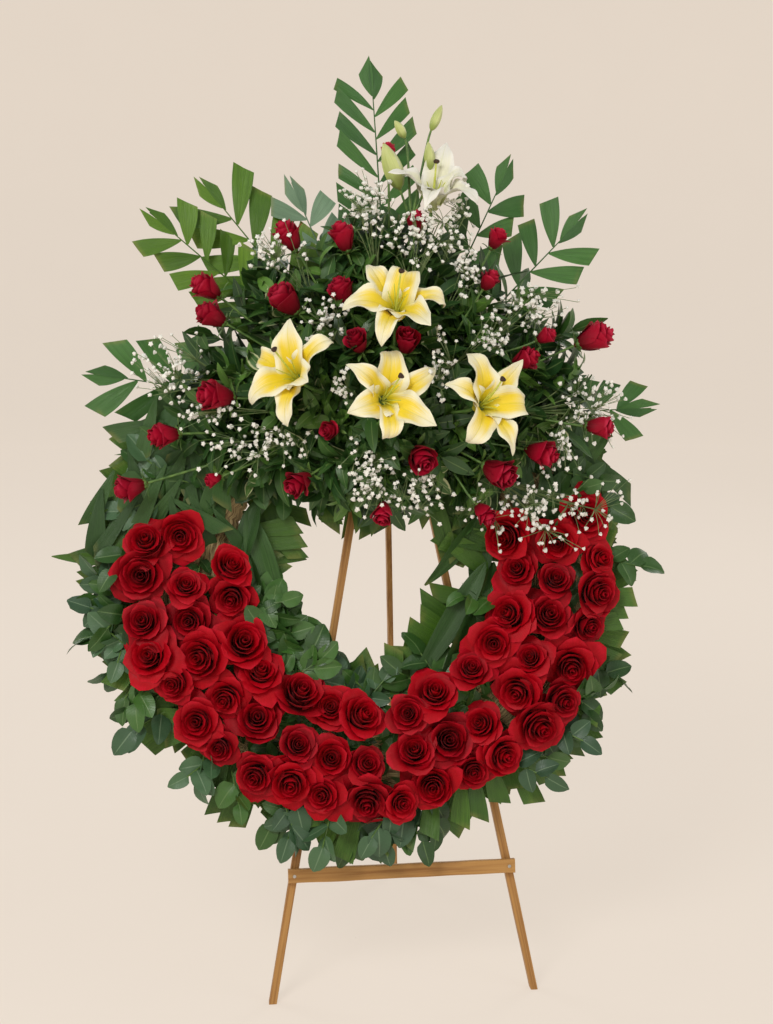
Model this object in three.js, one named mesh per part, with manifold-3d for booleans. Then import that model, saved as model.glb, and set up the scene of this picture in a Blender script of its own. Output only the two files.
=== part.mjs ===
// A funeral wreath on a wooden tripod easel: a ring of red roses bedded in leaves, with a spray
// of palm fronds, lilies, roses and gypsophila over its top.
//
// Millimetres, +Z up, the viewer stands at -Y. The easel's front frame and the wreath share one
// plane that leans back. Inside the leaning group x runs across, y up the plane from the floor
// and z out of the plane towards the viewer. Inside the wreath group the same axes start at the
// ring's centre, and are called across, up and out.

import * as THREE from 'three';
import { mergeVertices } from 'three/addons/utils/BufferGeometryUtils.js';
import Module from 'manifold-3d';

const wasm = await Module();
wasm.setup();

// ---------------------------------------------------------------- driving dimensions

const GAP = 0.4;                          // clearance between neighbouring pieces
const RAD = Math.PI / 180;

const LEAN = 12 * RAD;                    // the front frame, back from the vertical
const HALF_SPREAD = 232;                  // half the distance between the front feet
const APEX = 1228;                        // where the front legs' centre lines meet
const LEG = { width: 15, depth: 18, top: 1212 };
const CROSSBAR = { length: 401, low: 210, high: 236, thickness: 14 };
const RAIL = { length: 78, low: 1092, high: 1162, thickness: 16 };
const REAR_LEG = { width: 9.6, depth: 18, spread: 26.3 * RAD, skew: 3 * RAD, pivot: 1120 };
const BRACKET = { width: 26, height: 44, sheet: 1.8, reach: 26, pivot: 15 };
const BOLT = { radius: 2.6, clearance: 0.4, head: 5, headDepth: 3.5 };
const NAIL = { radius: 1.5, head: 3, headDepth: 0.9 };
const HOOK = { up: 1176, front: 9, length: 21 };  // the nail that the wreath hangs on
const WIRE = { radius: 0.9, out: 5.5, ends: [-78, -28], up: 1128 };

const WREATH = { across: -53, up: 751 };  // the ring's centre, off the easel's centre line
const STRAW = { inner: 232, outer: 398, back: 9, front: 62 };
const COLLAR = { back: 3, thickness: 3, seam: 300 };
const BED = { back: 64, thickness: 3, inner: 218, outer: 425, from: 62, to: 298 };
const ROSE_PAD = { back: 70, front: 80, inner: 222, outer: 420 };
const RING_ROSES = { from: 74, to: 286, out: 105, clusters: 9 };
const ROSE_ROWS = [
  { radius: 245, count: 14, start: 0.2 },
  { radius: 320, count: 17, start: 0.6 },
  { radius: 392, count: 22, start: 0.35 },
];

const TRAY = { across: 50, up: 300, length: 236, width: 96, back: 71, rim: 14, wall: 2 };
const FOAM = { length: 226, width: 86, back: 74, front: 136 };
const SPRAY = { across: 25, up: 300, left: 350, right: 385, top: 300, bottom: 188, back: 72, depth: 88 };
const FOCUS = new THREE.Vector3(50, 268, 75);   // where the spray's stems would meet

// Palm fronds: where the leaflets begin, the tip, the leaflets' length and how far the tip bends out.
const FRONDS = [
  { name: 'palm_frond_top', base: [33, 540], tip: [28, 894], leaflet: 98, bend: -20 },
  { name: 'palm_frond_top_left', base: [-38, 508], tip: [-122, 682], leaflet: 62, bend: 10 },
  { name: 'palm_frond_upper_left', base: [-133, 468], tip: [-276, 681], leaflet: 92, bend: 5 },
  { name: 'palm_frond_left', base: [-210, 454], tip: [-369, 624], leaflet: 74, bend: 30 },
  { name: 'palm_frond_low_left', base: [-265, 301], tip: [-474, 347], leaflet: 66, bend: 30 },
  { name: 'palm_frond_top_right', base: [172, 478], tip: [272, 716], leaflet: 66, bend: 0 },
  { name: 'palm_frond_upper_right', base: [262, 468], tip: [398, 616], leaflet: 80, bend: 20 },
  { name: 'palm_frond_low_right', base: [380, 250], tip: [514, 272], leaflet: 64, bend: 30 },
];

// Lilies: the flower's centre, its diameter, how far it is turned about its own axis, and the
// way it faces.
const LILIES = [
  { name: 'lily_upper', at: [35, 455, 262], across: 178, turn: 8, face: [-0.05, 0.45, 1] },
  { name: 'lily_left', at: [-148, 338, 240], across: 176, turn: 34, face: [-0.3, 0.1, 1] },
  { name: 'lily_lower', at: [25, 284, 270], across: 178, turn: 20, face: [0.05, -0.1, 1] },
  { name: 'lily_right', at: [202, 280, 250], across: 172, turn: 48, face: [0.3, 0, 1] },
  { name: 'lily_top', at: [118, 640, 178], across: 150, turn: 10, face: [0.1, 1, 0.45] },
];
const LILY_BUDS = [
  { from: [61, 643, 150], to: [33, 718, 165], width: 31 },
  { from: [73, 733, 140], to: [55, 761, 148], width: 15 },
  { from: [116, 743, 150], to: [136, 787, 150], width: 15 },
];
const LILY_BUD_FORK = [80, 590, 140];

// Roses of the spray, in the bunches that share a place in the foam: across, up, out and width.
const BUNCH_FORK = 0.78;                 // where a bunch's stems part, from the focus to its heads
const ROSE_BUNCHES = [
  { name: 'spray_roses_crown', heads: [[45, 712, 130, 30], [85, 585, 165, 38], [-40, 562, 165, 48]] },
  { name: 'spray_roses_top_right', heads: [[225, 560, 150, 36], [205, 485, 180, 34], [300, 390, 175, 32]] },
  { name: 'spray_roses_top_left', heads: [[-130, 565, 155, 50], [-140, 455, 180, 54], [-45, 468, 185, 46]] },
  { name: 'spray_roses_left', heads: [[-270, 480, 150, 48], [-262, 432, 160, 48], [-258, 296, 180, 56]] },
  { name: 'spray_roses_far_left', heads: [[-345, 235, 150, 48], [-402, 150, 130, 48], [-265, 160, 160, 26]] },
  { name: 'spray_roses_middle', heads: [[58, 380, 205, 46], [-25, 382, 205, 42], [-72, 236, 200, 34]] },
  { name: 'spray_roses_low', heads: [[78, 186, 205, 54], [-125, 150, 185, 46], [12, 96, 195, 38]] },
  { name: 'spray_roses_right', heads: [[388, 388, 160, 58], [262, 350, 185, 44], [390, 235, 170, 44]] },
  { name: 'spray_roses_low_right', heads: [[285, 190, 190, 50], [208, 160, 200, 56], [185, 92, 185, 38]] },
];

const GYPSOPHILA = [
  { name: 'gypsophila_left', root: [-235, 370, 150], tips: [-365, 350, 150], spread: 56, sprigs: 7 },
  { name: 'gypsophila_top', root: [20, 520, 150], tips: [15, 620, 195], spread: 44, sprigs: 7 },
  { name: 'gypsophila_right', root: [290, 290, 160], tips: [440, 150, 130], spread: 66, sprigs: 7 },
];

// ---------------------------------------------------------------- materials

const finish = (color, roughness, metalness = 0) => new THREE.MeshStandardMaterial({ color, roughness, metalness });
const MATERIALS = {
  pine: finish(0xc08a4a, 0.6),
  steel: finish(0x9a9a98, 0.4, 0.9),
  straw: finish(0xa08a5c, 0.95),
  palm: finish(0x3c6b34, 0.55),
  leaf: finish(0x24481f, 0.5),
  rose: finish(0x9c0a1c, 0.7),
  lily: finish(0xf3e37a, 0.6),
  bud: finish(0xb9c46a, 0.6),
  foam: finish(0x2f5c3a, 0.95),
  tray: finish(0x1f3a28, 0.5),
  gypsophila: finish(0xf4f4ee, 0.7),
};

// ---------------------------------------------------------------- closed bodies

const vec = (...p) => new THREE.Vector3(...p);
const fraction = (x) => x - Math.floor(x);

// An even scatter in 0..1: the k-th number of a sequence set by a step.
const scatter = (k, step) => fraction(0.5 + (k + 1) * step);

function solid(geometry) {
  const bare = geometry.clone();
  bare.deleteAttribute('normal');
  bare.deleteAttribute('uv');
  const merged = mergeVertices(bare, 1e-4);
  return new wasm.Manifold(new wasm.Mesh({
    numProp: 3,
    vertProperties: merged.attributes.position.array,
    triVerts: Uint32Array.from(merged.index.array),
  }));
}

function geometryOf(manifold) {
  const mesh = manifold.getMesh();
  const geometry = new THREE.BufferGeometry();
  geometry.setAttribute('position', new THREE.BufferAttribute(mesh.vertProperties, 3));
  geometry.setIndex(new THREE.BufferAttribute(mesh.triVerts, 1));
  geometry.computeVertexNormals();
  return geometry;
}

const join = (solids) => solids.reduce((a, b) => a.add(b));
const largest = (manifold) => manifold.decompose().sort((a, b) => b.volume() - a.volume())[0];

// A body from its points and triangles, turned so that its faces point out.
function body(points, triangles) {
  let volume = 0;
  for (const [a, b, c] of triangles) volume += points[a].dot(points[b].clone().cross(points[c]));
  const geometry = new THREE.BufferGeometry().setFromPoints(points);
  geometry.setIndex(triangles.flatMap(([a, b, c]) => (volume > 0 ? [a, b, c] : [a, c, b])));
  geometry.computeVertexNormals();
  return geometry;
}

// A closed skin over rings of equally many points, from one end point to the other.
function skin(first, rings, last) {
  const n = rings[0].length;
  const points = [first, ...rings.flat(), last];
  const end = points.length - 1;
  const triangles = [];
  for (let i = 0; i < n; i++) {
    const next = (i + 1) % n;
    triangles.push([0, 1 + next, 1 + i]);
    for (let r = 0; r < rings.length - 1; r++) {
      const low = 1 + r * n;
      triangles.push([low + i, low + next, low + n + i], [low + next, low + n + next, low + n + i]);
    }
    triangles.push([end, end - n + i, end - n + next]);
  }
  return body(points, triangles);
}

function box(low, high) {
  const geometry = new THREE.BoxGeometry(high[0] - low[0], high[1] - low[1], high[2] - low[2]);
  return geometry.translate((low[0] + high[0]) / 2, (low[1] + high[1]) / 2, (low[2] + high[2]) / 2);
}

// Moves a geometry made along +Z so that its origin is at a point and it faces a direction.
function face(geometry, at, direction, turn = 0) {
  const turned = new THREE.Quaternion().setFromUnitVectors(vec(0, 0, 1), direction.clone().normalize());
  return geometry.rotateZ(turn).applyQuaternion(turned).translate(at.x, at.y, at.z);
}

function rod(from, to, radius, sides = 6, endRadius = radius) {
  const along = to.clone().sub(from);
  const cylinder = new THREE.CylinderGeometry(endRadius, radius, along.length(), sides);
  cylinder.rotateX(Math.PI / 2).translate(0, 0, along.length() / 2);
  return face(cylinder, from, along);
}

function extrude(points, depth, back = 0) {
  const shape = new THREE.Shape(points.map(([x, y]) => new THREE.Vector2(x, y)));
  return new THREE.ExtrudeGeometry(shape, { depth, bevelEnabled: false }).translate(0, 0, back);
}

// Lifts each vertex out of the plane by a height that depends on where it is in the plane.
function lift(geometry, height) {
  const position = geometry.attributes.position;
  for (let i = 0; i < position.count; i++) {
    position.setZ(i, position.getZ(i) + height(position.getX(i), position.getY(i)));
  }
  geometry.computeVertexNormals();
  return geometry;
}

// Clock angle: degrees clockwise from straight up, seen from the front.
const clock = (degrees, radius) => [radius * Math.sin(degrees * RAD), radius * Math.cos(degrees * RAD)];

function addMesh(group, name, geometry, material) {
  const mesh = new THREE.Mesh(geometry, material);
  mesh.name = name;
  group.add(mesh);
  return mesh;
}

// ---------------------------------------------------------------- easel

const SLOPE = HALF_SPREAD / APEX;                     // a front leg's run across per unit up
const legCentre = (up) => HALF_SPREAD - SLOPE * up;

// A nail driven along -Z, with its head's underside at the origin.
function nail(length, grow = 0) {
  const shank = rod(vec(0, 0, -length - grow), vec(0, 0, 0.5 * NAIL.headDepth), NAIL.radius + grow, 6);
  const head = rod(vec(0, 0, -grow), vec(0, 0, NAIL.headDepth + grow), NAIL.head + grow, 8);
  return solid(shank).add(solid(head));
}

// A front leg's outline: flat on the floor, straight up, and mitred against the other leg.
function frontLegOutline(side) {
  const half = LEG.width / 2 / Math.cos(Math.atan(SLOPE));
  const meet = (HALF_SPREAD - half - GAP / 2) / SLOPE;
  return [
    [legCentre(0) + half, 0],
    [legCentre(LEG.top) + half, LEG.top],
    [GAP / 2, LEG.top],
    [GAP / 2, meet],
    [legCentre(0) - half, 0],
  ].map(([x, y]) => [side * x, y]);
}

function frontLeg(side, nails) {
  const leg = extrude(frontLegOutline(side), LEG.depth, -LEG.depth);
  const position = leg.attributes.position;
  for (let i = 0; i < position.count; i++) {
    if (position.getY(i) < 1) position.setY(i, -position.getZ(i) * Math.tan(LEAN));
  }
  return nails.reduce((wood, hole) => wood.subtract(hole), solid(leg));
}

// The nails that hold a piece to both front legs, with its pockets for them.
function nailPair(height, depth, out, backwards) {
  const turn = backwards ? [180, 0, 0] : [0, 0, 0];
  const place = (side, grow) => nail(depth, grow).rotate(turn).translate([side * legCentre(height), height, out]);
  return { left: (grow) => place(-1, grow), right: (grow) => place(1, grow) };
}

function addFrontFrame(leaning) {
  const barFront = GAP + CROSSBAR.thickness;
  const railFront = -LEG.depth - GAP;
  const railBack = railFront - RAIL.thickness;
  const barNails = nailPair((CROSSBAR.low + CROSSBAR.high) / 2, CROSSBAR.thickness + 12, barFront + GAP, false);
  const railNails = nailPair(RAIL.high - 9, RAIL.thickness + 10, railBack - GAP, true);
  const hook = (grow) => nail(HOOK.length, grow).translate([-legCentre(HOOK.up), HOOK.up, HOOK.front]);
  let bar = solid(box([-CROSSBAR.length / 2, CROSSBAR.low, GAP], [CROSSBAR.length / 2, CROSSBAR.high, barFront]));
  let rail = solid(box([-RAIL.length / 2, RAIL.low, railBack], [RAIL.length / 2, RAIL.high, railFront]));

  for (const [side, word] of [[-1, 'left'], [1, 'right']]) {
    const holes = [barNails[word](GAP), railNails[word](GAP)];
    bar = bar.subtract(holes[0]);
    rail = rail.subtract(holes[1]);
    if (side < 0) holes.push(hook(GAP));
    addMesh(leaning, `front_leg_${word}`, geometryOf(frontLeg(side, holes)), MATERIALS.pine);
    addMesh(leaning, `crossbar_nail_${word}`, geometryOf(barNails[word](0)), MATERIALS.steel);
    addMesh(leaning, `rail_nail_${word}`, geometryOf(railNails[word](0)), MATERIALS.steel);
  }
  addMesh(leaning, 'crossbar', geometryOf(bar), MATERIALS.pine);
  addMesh(leaning, 'wreath_hook', geometryOf(hook(0)), MATERIALS.steel);
  return { rail, railBack };
}

// The rear leg swings on a bolt between the ears of a bent steel bracket on the rail. Inside the
// hinge group x runs along the bolt, and z away from the rail's back towards the viewer.
function addRearLeg(leaning, rail, railBack) {
  const ear = REAR_LEG.width / 2 + 1;
  const hinge = new THREE.Group();
  hinge.position.set(0, REAR_LEG.pivot, railBack - GAP - BRACKET.pivot);
  hinge.rotation.z = REAR_LEG.skew;
  leaning.add(hinge);

  const plateBack = BRACKET.pivot - BRACKET.sheet;
  const half = BRACKET.height / 2;
  const screwUp = 14;
  const holeRadius = BOLT.radius + BOLT.clearance;
  const boltHole = rod(vec(-40, 0, 0), vec(40, 0, 0), holeRadius, 14);
  let bracket = solid(box([-BRACKET.width / 2, -half, plateBack], [BRACKET.width / 2, half, BRACKET.pivot]));
  for (const side of [-1, 1]) {
    const xs = [side * ear, side * (ear + BRACKET.sheet)].sort((a, b) => a - b);
    bracket = bracket.add(solid(box([xs[0], -8, BRACKET.pivot - BRACKET.reach], [xs[1], 8, plateBack + 0.5])));
  }
  bracket = bracket.subtract(solid(boltHole));

  const screw = (side, grow) => nail(14, grow).rotate([180, 0, 0])
    .translate([0, side * screwUp, plateBack - GAP]);
  const toRail = new THREE.Matrix4().makeRotationZ(REAR_LEG.skew).setPosition(hinge.position);
  for (const [side, word] of [[-1, 'lower'], [1, 'upper']]) {
    bracket = bracket.subtract(screw(side, GAP));
    rail = rail.subtract(screw(side, GAP).transform(toRail.toArray()));
    addMesh(hinge, `bracket_screw_${word}`, geometryOf(screw(side, 0)), MATERIALS.steel);
  }
  addMesh(hinge, 'hinge_bracket', geometryOf(bracket), MATERIALS.steel);
  addMesh(leaning, 'hinge_rail', geometryOf(rail), MATERIALS.pine);

  const outside = ear + BRACKET.sheet + GAP;
  const shank = rod(vec(-outside - 1, 0, 0), vec(outside + 9, 0, 0), BOLT.radius, 12);
  const head = rod(vec(-outside - BOLT.headDepth, 0, 0), vec(-outside, 0, 0), BOLT.head, 6);
  addMesh(hinge, 'hinge_bolt', geometryOf(solid(shank).add(solid(head))), MATERIALS.steel);
  const nut = rod(vec(outside, 0, 0), vec(outside + 4.5, 0, 0), BOLT.head, 6);
  const nutHole = rod(vec(outside - 5, 0, 0), vec(outside + 20, 0, 0), BOLT.radius + 0.3, 12);
  addMesh(hinge, 'hinge_nut', geometryOf(solid(nut).subtract(solid(nutHole))), MATERIALS.steel);

  // The leg is made too long and cut off level with the floor.
  const leg = new THREE.Group();
  leg.rotation.x = REAR_LEG.spread;
  hinge.add(leg);
  const long = 1200;
  const [w, d] = [REAR_LEG.width / 2, REAR_LEG.depth / 2];
  const plank = extrude([
    [-d, -long], [d, -long], [d, 0.4 * d], [0.4 * d, d], [-0.4 * d, d], [-d, 0.4 * d],
  ], 2 * w, -w);
  plank.rotateY(Math.PI / 2);
  leg.updateWorldMatrix(true, false);
  const floor = box([-900, -900, -400], [900, 900, 0]).applyMatrix4(leg.matrixWorld.clone().invert());
  const timber = solid(plank).subtract(solid(boltHole)).subtract(solid(floor));
  addMesh(leg, 'rear_leg', geometryOf(largest(timber)), MATERIALS.pine);
}

// A wire loop from the ring's back over the hook.
function hangingWire(grow = 0) {
  const hookX = -legCentre(HOOK.up);
  const [left, right] = WIRE.ends;
  const over = HOOK.up + NAIL.radius + WIRE.radius + 2.2;
  const side = NAIL.radius + WIRE.radius + 1.7;
  const points = [
    [left, WIRE.up, STRAW.back + 9],
    [left, WIRE.up, WIRE.out],
    [hookX - side, HOOK.up - 1, WIRE.out],
    [hookX, over, WIRE.out],
    [hookX + side, HOOK.up - 1, WIRE.out],
    [right, WIRE.up, WIRE.out],
    [right, WIRE.up, STRAW.back + 9],
  ].map((p) => vec(...p));
  const links = [];
  for (let i = 0; i + 1 < points.length; i++) {
    const along = points[i + 1].clone().sub(points[i]).setLength(0.6 * WIRE.radius);
    const from = i ? points[i].clone().sub(along) : points[i];
    const to = i + 2 < points.length ? points[i + 1].clone().add(along) : points[i + 1];
    links.push(solid(rod(from, to, WIRE.radius + grow, 5)));
  }
  return join(links);
}

// ---------------------------------------------------------------- ring

// Leaves that stand out of a rim: points across one leaf, from its left to its right side. A cut
// palm leaflet ends in a slant; a round leaf has shoulders and a point.
function leafPoints(angle, width, foot, reach, cut, lean) {
  const at = (turn, radius) => clock(angle + turn, radius);
  const step = reach - foot;
  if (cut) {
    return [
      at(-width, foot),
      at(lean - 0.6 * width, reach),
      at(lean + 0.5 * width, reach - cut * step),
      at(width, foot),
    ];
  }
  return [
    at(-width, foot),
    at(lean - width, foot + 0.5 * step),
    at(lean, reach),
    at(lean + width, foot + 0.55 * step),
  ];
}

// A row of leaves along an arc of the rim, in clock order.
function leafRow({ from, to, count, foot, reach, vary, fill, cut, seed }) {
  const pitch = (to - from) / count;
  const points = [];
  for (let k = 0; k < count; k++) {
    const angle = from + (k + 0.5) * pitch;
    const length = reach + vary * (2 * scatter(k + seed, 0.618) - 1);
    const lean = 0.18 * pitch * (scatter(k + seed, 0.755) - 0.5);
    points.push(...leafPoints(angle, 0.5 * fill * pitch, foot, length, cut * (0.5 + scatter(k + seed, 0.57)), lean));
  }
  return points;
}

function arc(from, to, radius, steps) {
  return Array.from({ length: steps + 1 }, (_, k) => clock(from + ((to - from) * k) / steps, radius));
}

// A flat ring between two outlines that both run in clock order.
function ringOf(outer, inner, depth, back) {
  const shape = new THREE.Shape(outer.map(([x, y]) => new THREE.Vector2(x, y)));
  shape.holes.push(new THREE.Path([...inner].reverse().map(([x, y]) => new THREE.Vector2(x, y))));
  return new THREE.ExtrudeGeometry(shape, { depth, bevelEnabled: false }).translate(0, 0, back);
}

// Palm leaves pinned to the ring's back, outwards round the rim and inwards round the hole.
function outerPalmCollar() {
  const leaves = leafRow({
    from: 35, to: 325, count: 36, foot: 412, reach: 482, vary: 20, fill: 0.86, cut: 0.3, seed: 3,
  });
  const long = leafPoints(274, 1.6, 420, 545, 0, 2);
  const outline = [...leaves, ...arc(327, 393, 405, 10)];
  const sheet = ringOf(outline, arc(0, 350, COLLAR.seam + GAP, 35), COLLAR.thickness, COLLAR.back);
  return solid(sheet).add(solid(extrude(long, COLLAR.thickness, COLLAR.back)));
}

function innerPalmCollar() {
  const leaves = leafRow({
    from: 55, to: 305, count: 22, foot: 226, reach: 172, vary: 15, fill: 0.9, cut: 0.35, seed: 11,
  });
  const inner = [...leaves, ...arc(308, 412, 228, 12)];
  return solid(ringOf(arc(0, 350, COLLAR.seam - GAP, 35), inner, COLLAR.thickness, COLLAR.back));
}

// The round leaves that the roses lie in, out past the rim and in past the hole's edge.
function leafBed() {
  const { from, to, inner, outer } = BED;
  const rim = leafRow({ from, to, count: 30, foot: outer, reach: 472, vary: 14, fill: 0.8, cut: 0, seed: 5 });
  const hole = leafRow({ from, to, count: 20, foot: inner, reach: 176, vary: 10, fill: 0.8, cut: 0, seed: 8 });
  return solid(extrude([...rim, ...hole.reverse()], BED.thickness, BED.back));
}

function strawRing() {
  const { inner, outer, back, front } = STRAW;
  const round = 14;
  const profile = [
    [inner, back + round], [inner + round, back], [outer - round, back], [outer, back + round],
    [outer, front - round], [outer - 1.6 * round, front], [inner + 1.6 * round, front], [inner, front - round],
    [inner, back + round],
  ].map(([r, y]) => new THREE.Vector2(r, y));
  return solid(new THREE.LatheGeometry(profile, 30).rotateX(Math.PI / 2));
}

// ---------------------------------------------------------------- roses

// Radius, height and lobing of a rose's rings of petals, as fractions of the head's radius.
const OPEN_ROSE = [[0.34, -0.62, 0], [0.9, -0.2, 0.05], [1, 0.22, 0.09], [0.5, 0.52, -0.12]];
const BUD_ROSE = [[0.42, -0.95, 0], [0.9, -0.45, 0.03], [0.98, 0.3, 0.06], [0.72, 0.78, -0.1]];

function roseHead(profile, petals, radius, base, grow) {
  const rings = profile.map(([across, up, lobe]) => Array.from({ length: petals }, (_, k) => {
    const r = across * (1 + (k % 2 ? lobe : -lobe)) * (radius + grow);
    const angle = (2 * Math.PI * k) / petals;
    return vec(r * Math.cos(angle), r * Math.sin(angle), up * radius + Math.sign(up) * grow);
  }));
  const middle = profile.at(-1)[1] * radius * 0.8;
  return skin(vec(0, 0, -base - grow), rings, vec(0, 0, middle + grow));
}

// The heads lie in three staggered rows round the ring.
function ringRosePlaces() {
  const places = [];
  for (const row of ROSE_ROWS) {
    const pitch = (RING_ROSES.to - RING_ROSES.from) / row.count;
    for (let k = 0; k < row.count; k++) {
      const seed = k + row.radius;
      const angle = RING_ROSES.from + (k + row.start + 0.3 * (scatter(seed, 0.618) - 0.5)) * pitch;
      const radius = row.radius + 20 * (scatter(seed, 0.755) - 0.5);
      places.push({ angle, radius, across: 60 + 30 * scatter(seed, 0.57), turn: 6 * scatter(seed, 0.47) });
    }
  }
  return places;
}

function ringRose({ angle, radius, across, turn }, grow) {
  const [x, y] = clock(angle, radius);
  const lean = (0.3 * (radius - 320)) / 75;
  const facing = vec(lean * Math.sin(angle * RAD), lean * Math.cos(angle * RAD), 1);
  const centre = vec(x, y, RING_ROSES.out);
  const base = (RING_ROSES.out - ROSE_PAD.back - 3) * facing.length();
  return solid(face(roseHead(OPEN_ROSE, 8, across / 2, base, grow), centre, facing, turn));
}

function ringRoseCluster(places, from, to, grow) {
  const edge = 0.12 - grow * 0.08;
  const outline = [
    ...arc(from + edge, to - edge, ROSE_PAD.outer + grow, 3),
    ...arc(to - edge, from + edge, ROSE_PAD.inner - grow, 3),
  ];
  const pad = solid(extrude(outline, ROSE_PAD.front - ROSE_PAD.back + 2 * grow, ROSE_PAD.back - grow));
  return join([pad, ...places.map((place) => ringRose(place, grow))]);
}

// Where neighbouring bunches crowd each other, the later one gives way to the earlier ones.
function ringRoses() {
  const places = ringRosePlaces();
  const span = (RING_ROSES.to - RING_ROSES.from) / RING_ROSES.clusters;
  const clusters = [];
  let taken = [];
  for (let k = 0; k < RING_ROSES.clusters; k++) {
    const [from, to] = [RING_ROSES.from + k * span, RING_ROSES.from + (k + 1) * span];
    const here = places.filter(({ angle }) => angle >= from && angle < to);
    const whole = ringRoseCluster(here, from, to, 0);
    clusters.push(largest(taken.reduce((left, other) => left.subtract(other), whole)));
    taken = [...taken.slice(-1), ringRoseCluster(here, from, to, 2 * GAP)];
  }
  return clusters;
}

// ---------------------------------------------------------------- spray

const FOAM_MIDDLE = vec(TRAY.across, TRAY.up, (FOAM.back + FOAM.front) / 2);
const FOAM_HALF = vec(FOAM.length / 2, FOAM.width / 2, (FOAM.front - FOAM.back) / 2);

// Where a stem that comes from a place ends, inside the foam.
function entry(flower) {
  const way = flower.clone().sub(FOCUS);
  const reach = Math.min(...['x', 'y', 'z'].map((a) => FOAM_HALF[a] / Math.max(1, Math.abs(way[a]))));
  return FOAM_MIDDLE.clone().addScaledVector(way, reach).addScaledVector(way.normalize(), -20);
}

function roseBunch(bunch, grow) {
  const heads = bunch.heads.map(([x, y, z, across]) => ({ at: vec(x, y, z), radius: across / 2 }));
  const middle = heads.reduce((sum, { at }) => sum.add(at), vec()).divideScalar(heads.length);
  const fork = FOCUS.clone().lerp(middle, BUNCH_FORK);
  const trunk = solid(rod(entry(middle), fork, 3.4 + grow, 5));
  return join([trunk, ...heads.flatMap(({ at, radius }) => {
    const facing = at.clone().sub(FOCUS).normalize();
    const neck = at.clone().addScaledVector(facing, -0.9 * radius);
    return [
      solid(face(roseHead(BUD_ROSE, 6, radius, 1.25 * radius, grow), at, facing, radius)),
      solid(rod(fork, neck, 2.4 + grow, 4)),
    ];
  })]);
}

// A lily looks along +Z: six petals curve out of its throat and curl back at their tips.
function lilyHead(radius, grow) {
  const reach = [1, 0.64, 0.3, 0.64];
  const rise = [-0.06, 0.12, -0.1, 0.12];
  const shift = [0, 2, 0, -2];
  const ring = (across, up) => Array.from({ length: 24 }, (_, k) => {
    const angle = (15 * k + shift[k % 4]) * RAD;
    const r = across(k % 4) * radius + grow;
    return vec(r * Math.cos(angle), r * Math.sin(angle), up(k % 4) * radius);
  });
  const lower = (points, by) => points.map((p) => p.clone().setZ(p.z + by));
  const throat = ring(() => 0.2, () => -0.2);
  const rim = ring((k) => reach[k], (k) => rise[k]);
  const petal = 3 + grow;
  const rings = [lower(throat, grow), lower(rim, grow), lower(rim, -petal), lower(throat, -petal)];
  const bowl = -0.42 * radius;
  return skin(vec(0, 0, bowl + grow), rings, vec(0, 0, bowl - petal));
}

function lily({ at, across, turn, face: look }, grow) {
  const centre = vec(...at);
  const radius = across / 2;
  const facing = vec(...look).normalize();
  const head = face(lilyHead(radius, grow), centre, facing, turn * RAD);
  const neck = centre.clone().addScaledVector(facing, -0.44 * radius);
  return join([solid(head), solid(rod(entry(centre), neck, 3 + grow, 5, 7 + grow))]);
}

function lilyBuds(grow) {
  const fork = vec(...LILY_BUD_FORK);
  const parts = [solid(rod(entry(fork), fork, 3 + grow, 5))];
  for (const { from, to, width } of LILY_BUDS) {
    const [a, b] = [vec(...from), vec(...to)];
    const along = b.clone().sub(a);
    const length = along.length();
    const rings = [[0.2, 0.66], [0.45, 1], [0.78, 0.7]].map(([up, wide]) => Array.from({ length: 6 }, (_, k) => {
      const angle = (k * Math.PI) / 3;
      const r = (wide * width) / 2 + grow;
      return vec(r * Math.cos(angle), r * Math.sin(angle), up * length);
    }));
    const pod = skin(vec(0, 0, -grow), rings, vec(0, 0, length + grow));
    parts.push(solid(face(pod, a, along)), solid(rod(fork, a.clone().addScaledVector(along, 0.15), 2 + grow, 4)));
  }
  return join(parts);
}

// A cloud of small flowers on thin twigs.
function gypsophila({ root, tips, spread, sprigs }, grow) {
  const [foot, cloud] = [vec(...root), vec(...tips)];
  const fork = foot.clone().lerp(cloud, 0.6);
  const parts = [solid(rod(foot, fork, 1.6 + grow, 4))];
  for (let k = 0; k < sprigs; k++) {
    const angle = 2.4 * k;
    const reach = spread * Math.sqrt((k + 0.5) / sprigs);
    const tip = cloud.clone().add(vec(reach * Math.cos(angle), reach * Math.sin(angle), 24 * (scatter(k, 0.618) - 0.5)));
    parts.push(solid(rod(fork, tip, 1.2 + grow, 3)));
    parts.push(solid(new THREE.OctahedronGeometry(7 + grow).translate(tip.x, tip.y, tip.z)));
  }
  return join(parts);
}

// The mass of leaves, as one body with rows of leaf tips standing out of it.
function greenery() {
  const { across, up, left, right, top, bottom, back, depth } = SPRAY;
  const columns = 32;
  const levels = [[0.9, 0], [1, 0.14], [0.95, 0.42], [0.78, 0.68], [0.53, 0.88], [0.26, 0.98]];
  const rings = levels.map(([reach, rise], level) => Array.from({ length: columns }, (_, k) => {
    const angle = (2 * Math.PI * k) / columns;
    const [c, s] = [Math.cos(angle), Math.sin(angle)];
    const tip = level === 0 ? 1 : 1 + 0.1 * ((k + level) % 2 ? 1 : -1);
    const r = (reach * tip) / Math.hypot(c / (c > 0 ? right : left), s / (s > 0 ? top : bottom));
    return vec(across + r * c, up + r * s, back + depth * rise);
  }));
  return solid(skin(vec(across, up, back), rings, vec(across, up, back + depth)));
}

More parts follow.
